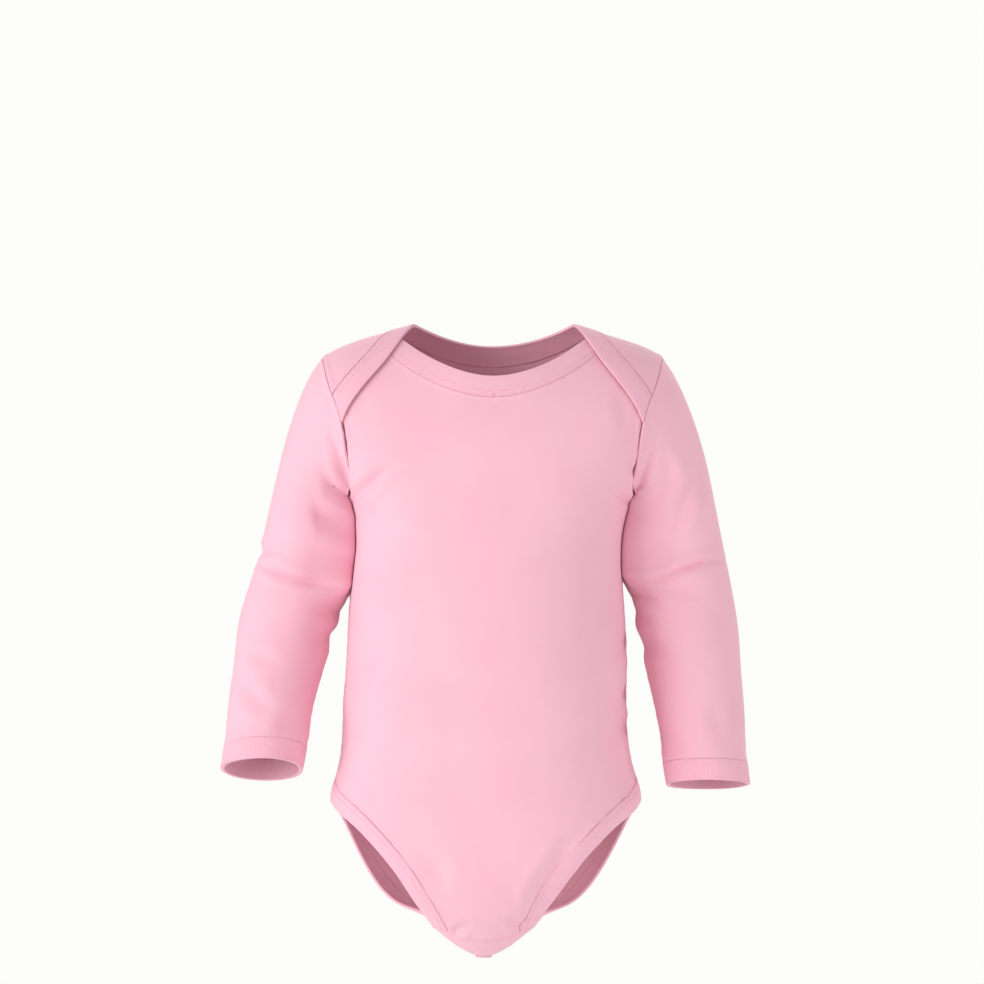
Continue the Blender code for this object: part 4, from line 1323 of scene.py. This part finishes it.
@dataclass
class CrotchTab:
    """Rectangular placket tab under the crotch; heights are measured forwards."""

    name: str
    node: str
    heights: tuple[float, float]               # its two ends
    body: BodyPiece

    def places(self, rows: np.ndarray, columns: np.ndarray) -> np.ndarray:
        """Return the grid of places at heights and at distances from the centre line."""
        return np.array([[(self.body.form.across(h, w), h) for w in columns] for h in rows])

    def build(self, shop: Workshop) -> bpy.types.Object:
        """Cut the tab, a little short of its seams.

        Args:
            shop: makes the piece.

        Returns:
            The tab.
        """
        low, high = self.heights
        rows = np.linspace(low + GROOVE, high - GROOVE, 37)
        columns = np.linspace(-TAB_HALF_WIDTH, TAB_HALF_WIDTH, 61)
        run = self.body.swatch(self.places(rows, columns))
        run.flat = np.stack(np.broadcast_arrays(columns[None, :], rows[:, None]), -1)
        return shop.cloth(self.name, [run], PLACKET, BINDING, "rib", [self.node], 0.6)

    def outline(self, inset: float) -> list[tuple[np.ndarray, np.ndarray]]:
        """Trace the topstitching.

        Args:
            inset: its distance inside the tab's edges.

        Returns:
            Points and outward directions of its four rows.
        """
        low, high = self.heights[0] + inset, self.heights[1] - inset
        wide = TAB_HALF_WIDTH - inset
        columns, rows = np.linspace(-wide, wide, 60), np.linspace(low, high, 40)
        runs = [self.places(np.array([h]), columns)[0] for h in (low, high)]
        runs += [self.places(rows, np.array([w]))[:, 0] for w in (-wide, wide)]
        return [self.body.line(run, PLACKET) for run in runs]


@dataclass
class Sleeve:
    """A long sleeve, set into its armhole and gathered into a ribbed cuff."""

    side: Side
    form: GarmentForm
    round: int = LOOP_STEPS * FINE
    ribs: int = 84
    gaps: tuple[float, float] = (0.8, 1.5)     # gap of the first ring low down and high up, in SEAMs
    high: tuple[float, float] = (280.0, 20.0)  # height at which it begins to widen, and how soon it has
    lap_share: float = 0.85                    # share of the lap's lift that the sleeve follows
    lap_run: float = 40.0                      # height over which it comes to follow it
    ahead: float = 12.0                        # how far past the armhole its first direction is taken
    leave: tuple[float, float] = (0.64, 9.0)   # pull of the cap at the armhole: share of its reach, least
    arrive: float = 16.0                       # least pull where the cap meets the arm
    rest: float = 0.2                          # gap between the underarm and the body
    touch: tuple[float, float] = (74.0, 38.0)  # degrees off the underarm where contact begins, and its run
    outside: float = 60.0                      # how far outside the arm the rays towards the body start
    rib_height: float = 0.08
    sway: float = 0.35                         # how unevenly the cuff flares at its hem

    def __post_init__(self) -> None:
        """Work out the line down the arm."""
        rows = np.array(SLEEVES[self.side])
        self.run = np.concatenate([[0.0], np.cumsum(np.linalg.norm(np.diff(rows[:, :3], axis=0), axis=1))])
        self.table = Spline(self.run, rows)

    def rings(self, downs: np.ndarray, steps: int) -> np.ndarray:
        """Shape rings of the arm with its broad folds.

        Args:
            downs: distances down the arm.
            steps: points of a ring, from its outer side over the front.

        Returns:
            Rings of the wall's middle.
        """
        turn = 2 * np.pi * np.arange(steps) / steps
        degrees = np.degrees(turn)
        made = []
        for down in np.atleast_1d(downs):
            x, y, z, half_x, half_y, tilt = self.table(down)
            lean = np.radians(tilt)
            press = np.zeros(steps)
            for at, centre, cover, slope, half, depth in SLEEVE_FOLDS[self.side]:
                away = (degrees - centre + 180.0) % 360.0 - 180.0
                off = (down - at - slope * away / 90.0) / half
                press += depth * np.exp(-off ** 2) * np.clip(1 - (away / cover) ** 2, 0.0, 1.0)
            wide, deep = half_x - press, half_y - press
            made.append(np.stack([x + self.side.value * wide * np.cos(turn),
                                  y - deep * np.sin(turn) * np.cos(lean),
                                  z + deep * np.sin(turn) * np.sin(lean)], -1))
        return np.array(made)

    def directions(self, sheet: np.ndarray) -> np.ndarray:
        """Return the outward directions of a stack of rings."""
        around = np.roll(sheet, -1, axis=1) - np.roll(sheet, 1, axis=1)
        return unit(self.side.value * np.cross(around, np.gradient(sheet, axis=0)))

    def opening(self) -> tuple[np.ndarray, np.ndarray, np.ndarray]:
        """Shape the first ring of the sleeve, just inside the seam of the armhole.

        Returns:
            Points of the wall's middle, the outward directions there, and the ways that the cloth sets out.
        """
        form, inward = self.form, self.side.value * SEAM
        loop = form.arm_loop if self.side is Side.RIGHT else mirrored(form.arm_loop)
        closed = np.vstack([loop[-1:], loop, loop[:1]])
        near, far, ahead = (form.shift(closed, inward * gap)[1:-1] for gap in (*self.gaps, self.ahead))
        begin, run = self.high
        start = near + (far - near) * soft_step((near[:, 1:] - begin) / run)
        rise = LAP_LIFT * soft_step((start[:, 1] - LAP_FOOT) / self.lap_run) * self.lap_share
        base, normals = form.skin(start)
        return base + normals * (rise + PANEL / 2)[:, None], normals, unit(form.worn(*ahead.T) - base)

    def sheet(self) -> tuple[np.ndarray, np.ndarray]:
        """Shape the sleeve from the armhole to the seam of the cuff.

        Returns:
            Rings of the wall's middle and the outward directions there.
        """
        first, first_normals, heading = self.opening()
        step = 2.0
        bicep, below = self.rings([0.0, step], self.round)
        reach = np.linalg.norm(bicep - first, axis=1)[:, None]
        share, least = self.leave
        leave = heading * np.maximum(reach * share, least)
        arrive = (below - bicep) / step * np.maximum(reach, self.arrive)
        cap = [first * (2 * s ** 3 - 3 * s ** 2 + 1) + leave * (s ** 3 - 2 * s ** 2 + s)
               + bicep * (3 * s ** 2 - 2 * s ** 3) + arrive * (s ** 3 - s ** 2)
               for s in np.linspace(0.0, 1.0, CAP_RINGS * FINE + 1)[:-1]]
        arm = self.rings(np.linspace(0.0, self.run[-1] - CUFF_BAND, ARM_RINGS * FINE + 1), self.round)
        sheet = np.concatenate([np.array(cap), arm])
        own = soft_step(np.arange(len(sheet)) / FINE)[:, None, None]
        return sheet, unit(first_normals[None] * (1 - own) + self.directions(sheet) * own)

    @staticmethod
    def closed(rows: np.ndarray) -> np.ndarray:
        """Return rings with their first column repeated at the end."""
        return np.concatenate([rows, rows[:, :1]], axis=1)

    def swatch(self, points: np.ndarray, normals: np.ndarray) -> Swatch:
        """Close rings of cloth and lay out their flat places, round the arm and down it.

        Args:
            points: rings of the inner face.
            normals: outward directions there.

        Returns:
            The run of cloth.
        """
        points = self.closed(points)
        down = np.concatenate([[0.0], np.cumsum(np.linalg.norm(np.diff(points[:, 0], axis=0), axis=1))])
        around = np.linspace(0.0, 2 * np.pi * 24.0, points.shape[1])
        flat = np.stack(np.broadcast_arrays(around[None, :], -down[:, None]), -1)
        return Swatch(points, self.closed(normals), flat)

    def flank(self, body: BodyPiece) -> BVHTree:
        """Find the outside of the body cloth beside the arm.

        Args:
            body: the body cloth.

        Returns:
            Its faces, in millimetres, for rays to meet.
        """
        side = self.side.value * 90.0
        turns, heights = np.linspace(side - 40.0, side + 40.0, 81), np.linspace(96.0, 262.0, 100)
        cloth = bmesh.new()
        body.swatch(np.stack(np.meshgrid(turns, heights), -1), PANEL).sew_into(cloth)
        bmesh.ops.scale(cloth, vec=(1 / MILLIMETRE,) * 3, verts=cloth.verts)
        tree = BVHTree.FromBMesh(cloth)
        cloth.free()
        return tree

    def nestle(self, points: np.ndarray, body: BodyPiece) -> np.ndarray:
        """Draw the sleeve in until its underarm lies against the body.

        Args:
            points: rings of the inner face of the wall.
            body: the body cloth beside the arm.

        Returns:
            The rings in their new places.
        """
        flank = self.flank(body)
        inward = Vector((-self.side.value, 0.0, 0.0))
        away = np.abs(np.degrees(2 * np.pi * np.arange(self.round) / self.round) - 180.0)
        begin, run = self.touch
        cover = soft_step((begin - away) / run)
        top, middle, low, end = NESTLE[self.side]
        moved = points.copy()
        for ring, row in enumerate(points):
            z = row[self.round // 2, 2]
            share = soft_step((top - z) / (top - middle)) * soft_step((z - end) / (low - end))
            for index in np.flatnonzero(cover * share > 0.001):
                met = flank.ray_cast(Vector(row[index]) - self.outside * inward, inward)[0]
                if met is not None:
                    reach = (met.x - row[index][0]) * inward.x - PANEL - self.rest
                    moved[ring, index, 0] += inward.x * reach * cover[index] * share
        return moved

    def build(self, shop: Workshop, body: BodyPiece) -> bpy.types.Object:
        """Cut the sleeve and lay it against the body.

        Args:
            shop: makes the piece.
            body: the body cloth beside the arm.

        Returns:
            The sleeve.
        """
        sheet, normals = self.sheet()
        armhole, wrist = self.closed(sheet)[0], self.closed(sheet)[-1]
        underarm = sheet[:, self.round // 2]
        seams = [SeamLine(armhole, rise=0.42, reach=1.3, pucker=0.16, phase=3.0),
                 SeamLine(wrist, rise=0.3, reach=1.2, pucker=0.12, phase=1.0),
                 SeamLine(underarm, rise=0.25, reach=1.6, pucker=0.1, phase=5.0)]
        rise = Relief(SLEEVE_CREASES[self.side], seams).lift(sheet, normals) - PANEL / 2
        run = self.swatch(self.nestle(sheet + normals * rise[..., None], body), normals)
        node = f"sleeve_{self.side.word}"
        return shop.cloth(f"{node}_jersey", [run], PANEL, JERSEY, "jersey", [node], 0.4)

    def cuff(self, shop: Workshop) -> bpy.types.Object:
        """Knit the ribbed cuff, which flares a little unevenly towards the hand.

        Args:
            shop: makes the piece.

        Returns:
            The cuff.
        """
        gap, sink = 0.1, 0.1
        steps = 6 * self.ribs
        downs = np.linspace(self.run[-1] - CUFF_BAND + gap, self.run[-1], 15)
        sheet = self.rings(downs, steps)
        normals = self.directions(sheet)
        turn = np.arange(steps) / steps
        share = np.linspace(0.0, 1.0, len(downs))
        fade = 1.0 - np.abs(2 * share - 1.0) ** 6
        rib = self.rib_height * np.cos(2 * np.pi * self.ribs * turn)[None, :] * fade[:, None]
        sway = self.sway * np.sin(2 * np.pi * (3 * turn + 0.2))[None, :] * share[:, None] ** 2
        rise = Relief(SLEEVE_CREASES[self.side], []).lift(sheet, normals) + rib + sway - CUFF / 2 + sink
        run = self.swatch(sheet + normals * rise[..., None], normals)
        node = f"cuff_{self.side.word}"
        return shop.cloth(f"{node}_rib", [run], CUFF, CUFF_RIB, "rib", [node], 0.8)


@dataclass
class Snap:
    """One fastened snap: a ring cap outside the front tab and a stud plate inside the back tab."""

    number: int
    offset: float                              # distance from the centre line
    outer: BodyPiece
    inner: BodyPiece
    foot: float = -0.5                         # height of the stud's foot above the inner face of its tab

    # Sections of the two plates: radius and rise
    CAP = ((0.0, 0.42), (1.1, 0.44), (1.6, 0.62), (2.1, 0.82), (3.0, 0.9), (3.9, 0.82), (4.5, 0.55),
           (4.8, 0.2), (4.75, 0.0), (4.2, -0.3), (0.0, -0.3))
    STUD = ((0.0, 0.9), (1.0, 0.88), (1.5, 0.7), (1.6, 0.45), (2.3, 0.4), (3.9, 0.45), (4.6, 0.3),
            (4.8, 0.1), (4.7, -0.1), (4.2, -0.5), (0.0, -0.5))

    @staticmethod
    def turned(profile: Sequence[tuple[float, float]]) -> bmesh.types.BMesh:
        """Turn a plate about the Z axis.

        Args:
            profile: radius and rise of its section.

        Returns:
            Its mesh, in metres.
        """
        shape = bmesh.new()
        verts = [shape.verts.new((radius * MILLIMETRE, 0.0, rise * MILLIMETRE)) for radius, rise in profile]
        edges = [shape.edges.new(pair) for pair in zip(verts, verts[1:])]
        bmesh.ops.spin(shape, geom=verts + edges, cent=(0, 0, 0), axis=(0, 0, 1), dvec=(0, 0, 0),
                       angle=2 * math.pi, steps=40, use_merge=True, use_duplicate=False)
        bmesh.ops.remove_doubles(shape, verts=shape.verts, dist=0.01 * MILLIMETRE)
        return shape

    def seat(self, piece: BodyPiece, lift: float, direction: float) -> Matrix:
        """Find where a plate sits on its tab.

        Args:
            piece: cloth that it sits on.
            lift: height of its foot above the inner face of that cloth.
            direction: 1 outwards, -1 inwards.

        Returns:
            Its place, in metres.
        """
        form = piece.form
        spot = np.array([form.across(SNAP_ROW, self.offset), SNAP_ROW])
        foot, normal = (row[0] for row in piece.line(spot[None], lift))
        ahead = form.slopes(form.plain, *spot)[1]
        ahead = unit(ahead - normal * (ahead @ normal))
        axes = np.stack([ahead, np.cross(normal, ahead) * direction, normal * direction], 1)
        return Matrix.Translation(Vector(foot) * MILLIMETRE) @ Matrix([[*row] for row in axes]).to_4x4()

    def build(self, shop: Workshop) -> None:
        """Turn both plates and set them on their tabs.

        Args:
            shop: makes the pieces.
        """
        for name, node, piece, lift, direction, profile in (
                ("snap_ring", "snap_cap", self.outer, PLACKET, 1.0, self.CAP),
                ("snap_plate", "snap_stud", self.inner, self.foot, -1.0, self.STUD)):
            shape = self.turned(profile)
            bmesh.ops.transform(shape, matrix=self.seat(piece, lift, direction), verts=shape.verts)
            bmesh.ops.recalc_face_normals(shape, faces=shape.faces)
            shop.piece(f"{name}_{self.number}", shape, SNAP_SHELL, "snap", [f"{node}_{self.number}"])


@dataclass
class Stitching:
    """Rows of stitches that lie on the cloth, each a short raised loop of thread."""

    name: str
    rows: Sequence[tuple[np.ndarray, np.ndarray]]      # points and outward directions of each row
    pitch: float = 2.7
    length: float = 2.1
    width: float = 0.42
    height: float = 0.34
    proud: float = 0.05                                # how far its middle lies above the cloth
    slant: float = 0.06                                # most that a stitch turns aside, in radians
    uneven: tuple[float, float] = (0.92, 1.06)         # shortest and longest, as shares of the length

    def build(self, shop: Workshop) -> bpy.types.Object:
        """Sew the rows.

        Args:
            shop: makes the piece.

        Returns:
            All the stitches as one piece.
        """
        chance = random.Random(self.name)
        look = 0.6
        shape = bmesh.new()
        for points, normals in self.rows:
            lengths = np.linalg.norm(np.diff(points, axis=0), axis=1)
            run = np.concatenate([[0.0], np.cumsum(lengths)])

            def at(rows: np.ndarray, place: float) -> np.ndarray:
                """Return the row of values at a distance along the stitches."""
                return np.array([np.interp(place, run, column) for column in rows.T])

            for s in np.arange(self.pitch / 2, run[-1] - self.pitch / 2, self.pitch):
                normal = unit(at(normals, s))
                ahead = unit(at(points, s + look) - at(points, s - look))
                ahead = unit(ahead + np.cross(normal, ahead) * chance.uniform(-self.slant, self.slant))
                aside = unit(np.cross(normal, ahead))
                axes = [ahead * self.length / 2 * chance.uniform(*self.uneven), aside * self.width / 2,
                        np.cross(ahead, aside) * self.height / 2]
                turn = Matrix([[*row] for row in np.stack(axes, 1) * MILLIMETRE]).to_4x4()
                place = Matrix.Translation(Vector(at(points, s) + normal * self.proud) * MILLIMETRE)
                bmesh.ops.create_uvsphere(shape, u_segments=6, v_segments=4, radius=1.0,
                                          matrix=place @ turn)
        bmesh.ops.recalc_face_normals(shape, faces=shape.faces)
        return shop.piece(self.name, shape, THREAD, "rib")


@dataclass(frozen=True)
class Lamp:
    """A soft light: its place, size in metres, power in watts and colour."""

    name: str
    place: tuple[float, float, float]
    size: float
    power: float
    colour: tuple[float, float, float] = (1.0, 1.0, 1.0)


@dataclass
class Studio:
    """Plain pale floor, soft lights and the camera; sizes and places in metres."""

    target: tuple[float, float, float] = (0.0, 0.0, -0.17)
    lamps: tuple[Lamp, ...] = (
        Lamp("key", (-2.1, -1.4, 0.25), 1.7, 42.0, (1.0, 0.985, 0.97)),
        Lamp("fill", (2.1, -1.1, -0.55), 1.6, 19.0, (1.0, 0.985, 0.99)),
        Lamp("back", (0.3, 1.9, 1.1), 1.4, 20.0),
    )
    backdrop: tuple[float, float, float] = (0.98, 0.98, 0.955)
    glow: tuple[float, float, float] = (1.0, 0.97, 0.98)
    glow_strength: float = 0.6
    ground: tuple[float, float, float] = (0.93, 0.93, 0.92)
    ground_radius: float = 1.9
    ground_height: float = -0.72
    camera_place: tuple[float, float, float] = (0.0, -2.0, -0.0902)
    lens: float = 135.5                        # focal length in mm, on a sensor 36 mm wide

    def hang_lamps(self) -> None:
        """Place the lamps and aim them at the garment."""
        for lamp in self.lamps:
            data = bpy.data.lights.new(lamp.name, "AREA")
            data.size, data.energy, data.color = lamp.size, lamp.power, lamp.colour
            item = bpy.data.objects.new(lamp.name, data)
            item.location = lamp.place
            aim = Vector(self.target) - Vector(lamp.place)
            item.rotation_euler = aim.to_track_quat("-Z", "Y").to_euler()
            bpy.context.scene.collection.objects.link(item)

    def surround(self) -> None:
        """Set the light that comes from all round, and the paler backdrop that the camera sees."""
        world = bpy.data.worlds.new("studio")
        bpy.context.scene.world = world
        world.use_nodes = True
        tree = world.node_tree
        seen = tree.nodes["Background"]
        seen.inputs["Color"].default_value = (*self.backdrop, 1.0)
        cast = tree.nodes.new("ShaderNodeBackground")
        cast.inputs["Color"].default_value = (*self.glow, 1.0)
        cast.inputs["Strength"].default_value = self.glow_strength
        path, mix = tree.nodes.new("ShaderNodeLightPath"), tree.nodes.new("ShaderNodeMixShader")
        tree.links.new(path.outputs["Is Camera Ray"], mix.inputs["Fac"])
        tree.links.new(cast.outputs[0], mix.inputs[1])
        tree.links.new(seen.outputs[0], mix.inputs[2])
        tree.links.new(mix.outputs[0], tree.nodes["World Output"].inputs["Surface"])
        bpy.context.scene.view_settings.view_transform = "Standard"

    def lay_floor(self) -> None:
        """Lay the floor well below the garment."""
        shape = bmesh.new()
        bmesh.ops.create_circle(shape, cap_ends=True, segments=96, radius=self.ground_radius,
                                matrix=Matrix.Translation((0.0, 0.0, self.ground_height)))
        mesh = bpy.data.meshes.new("floor")
        shape.to_mesh(mesh)
        shape.free()
        item = bpy.data.objects.new("floor", mesh)
        bpy.context.scene.collection.objects.link(item)
        material = bpy.data.materials.new("pale_floor")
        material.use_nodes = True
        shader = material.node_tree.nodes["Principled BSDF"]
        shader.inputs["Base Color"].default_value = (*self.ground, 1.0)
        shader.inputs["Roughness"].default_value = 0.9
        mesh.materials.append(material)

    def set_camera(self) -> None:
        """Set the camera level with the chest, in front of the garment."""
        data = bpy.data.cameras.new("camera")
        data.sensor_width, data.lens = 36.0, self.lens
        data.clip_start, data.clip_end = 0.05, 20.0
        item = bpy.data.objects.new("camera", data)
        item.location = self.camera_place
        item.rotation_euler = (math.pi / 2, 0.0, 0.0)
        bpy.context.scene.collection.objects.link(item)
        bpy.context.scene.camera = item

    def build(self) -> None:
        """Set up the whole studio."""
        self.hang_lamps()
        self.surround()
        self.lay_floor()
        self.set_camera()


@dataclass
class Bodysuit:
    """The whole garment: the seams that its pieces share, and the pieces in the order of their making."""

    shop: Workshop = field(default_factory=Workshop)
    form: GarmentForm = field(default_factory=GarmentForm)
    sheets: dict[str, bpy.types.Object] = field(default_factory=dict)
    stitches: dict[str, bpy.types.Object] = field(default_factory=dict)

    def __post_init__(self) -> None:
        """Trace the leg edge and the seams of the legs, the armholes and the sides."""
        form = self.form
        self.leg = LegEdge(form)
        leg_line = self.leg.whole(0.0, 400)
        self.legs = self.both(leg_line, rise=0.2, reach=0.8, pucker=0.08, phases=(0.0, 4.0))
        arm_line = np.vstack([form.arm_loop, form.arm_loop[:1]])
        self.arms = self.both(arm_line, rise=0.45, reach=1.7, pucker=0.13, phases=(2.0, 6.0))
        up = np.linspace(leg_line[:, 1].max(), ARMHOLE[-1][1], 240)
        self.sides = [self.seam(np.stack([np.full(len(up), angle), up], -1), rise=0.2, reach=1.6,
                                pucker=0.12, phase=angle) for angle in (-90.0, 90.0)]

    def seam(self, places: np.ndarray, rise: float, reach: float, pucker: float, phase: float) -> SeamLine:
        """Return a sewn line along places on the body."""
        return SeamLine(self.form.skin(places)[0], rise, reach, pucker, phase)

    def both(self, places: np.ndarray, rise: float, reach: float, pucker: float,
             phases: tuple[float, float]) -> list[SeamLine]:
        """Return a sewn line of the -X side and its like on the +X side."""
        lines = zip((places, mirrored(places)), phases)
        return [self.seam(line, rise, reach, pucker, phase) for line, phase in lines]

    def tab_seam(self, height: float, phase: float) -> SeamLine:
        """Trace the seam between a panel and its tab.

        Args:
            height: height of the seam.
            phase: where its waves start.

        Returns:
            The sewn line.
        """
        run = np.linspace(-TAB_HALF_WIDTH, TAB_HALF_WIDTH, 80)
        places = np.array([(self.form.across(height, distance), height) for distance in run])
        return self.seam(places, rise=0.5, reach=1.2, pucker=0.2, phase=phase)

    def bind(self, binding: Binding, mirror: bool = False) -> None:
        """Make a binding and the rows of stitches that hold it.

        Args:
            binding: the strip, ready to be folded.
            mirror: turn it over to the +X side.
        """
        self.sheets[binding.name] = binding.build(self.shop, mirror)
        rows = [binding.stitch_line(distance, mirror) for distance in STITCH_ROWS]
        sewn = Stitching(binding.name.replace("binding", "stitches"), rows)
        self.stitches[binding.name] = sewn.build(self.shop)

    def trunk(self) -> None:
        """Make the front and the back with their neck bindings."""
        form = self.form
        for facing, creases, lift, tab, step in (
                (Facing.FRONT, FRONT_CREASES, form.lift_front, self.tab_seam(FRONT_TAB[1], 1.0), 0.0),
                (Facing.BACK, BACK_CREASES, form.lift_back, self.tab_seam(BACK_TAB[0], 8.0), LAP_LIFT)):
            neck = NeckEdge(form, facing)
            seam = self.seam(neck.whole(NECK_BAND + SEAM / 2, 400), rise=0.25, reach=0.8, pucker=0.12,
                             phase=5.0 * facing.value)
            relief = Relief(creases, [seam, *self.legs, *self.arms, *self.sides, tab])
            panel = Panel(neck, self.leg, BodyPiece(form, relief, lift, neck.centre))
            self.sheets[facing.word] = panel.build(self.shop)
            sewn = SeamLine(seam.run, rise=0.05, reach=0.6, pucker=0.1, phase=seam.phase)
            calm = Relief(creases, [sewn])
            cloth = BodyPiece(form, calm, level(step - BAND_SINK))
            self.bind(Binding(f"neck_binding_{facing.word}", f"neck_band_{facing.word}", neck.whole,
                              NECK_BAND, cloth, True))

    def leg_lift(self, places: np.ndarray) -> np.ndarray:
        """Return how far the leg bindings lie off the surface."""
        front = np.cos(np.radians(places[..., 0])) >= 0
        return np.where(front, self.form.lift_front(places), 0.0) - BAND_SINK

    def leg_bindings(self) -> None:
        """Make the bindings of both legs."""
        for side, seam in zip(Side, self.legs):
            sewn = SeamLine(seam.run, rise=0.05, reach=0.6, pucker=0.08, phase=seam.phase)
            calm = Relief(FRONT_CREASES + BACK_CREASES, [sewn])
            cloth = BodyPiece(self.form, calm, self.leg_lift)
            self.bind(Binding(f"leg_binding_{side.word}", f"leg_band_{side.word}", self.leg.whole, LEG_BAND,
                              cloth, False), side is Side.LEFT)

    def crotch(self) -> None:
        """Make both tabs with their topstitching, and the snaps between them."""
        relief = Relief(FRONT_CREASES + BACK_CREASES, [])
        outer, inner = (BodyPiece(self.form, relief, level(height)) for height in TAB_FACES)
        for facing, heights, cloth in ((Facing.FRONT, FRONT_TAB, outer), (Facing.BACK, BACK_TAB, inner)):
            node = f"placket_{facing.word}"
            tab = CrotchTab(f"{node}_tab", node, heights, cloth)
            self.sheets[tab.name] = tab.build(self.shop)
            self.stitches[tab.name] = Stitching(f"{tab.name}_stitches", tab.outline(1.8)).build(self.shop)
        for number, offset in enumerate((-SNAP_PITCH, 0.0, SNAP_PITCH), start=1):
            Snap(number, offset, outer, inner).build(self.shop)

    def sleeves(self) -> None:
        """Make both sleeves with their cuffs."""
        relief = Relief(FRONT_CREASES + BACK_CREASES, [*self.arms, *self.sides])
        body = BodyPiece(self.form, relief, level(0.0))
        for side in Side:
            sleeve = Sleeve(side, self.form)
            self.sheets[f"sleeve_{side.word}"] = sleeve.build(self.shop, body)
            self.sheets[f"cuff_{side.word}"] = sleeve.cuff(self.shop)

    def build(self) -> None:
        self.trunk()
        self.leg_bindings()
        self.crotch()
        self.sleeves()


def main() -> None:
    """Build the garment and its studio."""
    logging.basicConfig(level=logging.INFO, format="%(message)s")
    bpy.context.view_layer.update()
    Bodysuit().build()
    Studio().build()


if __name__ == "__main__":
    main()
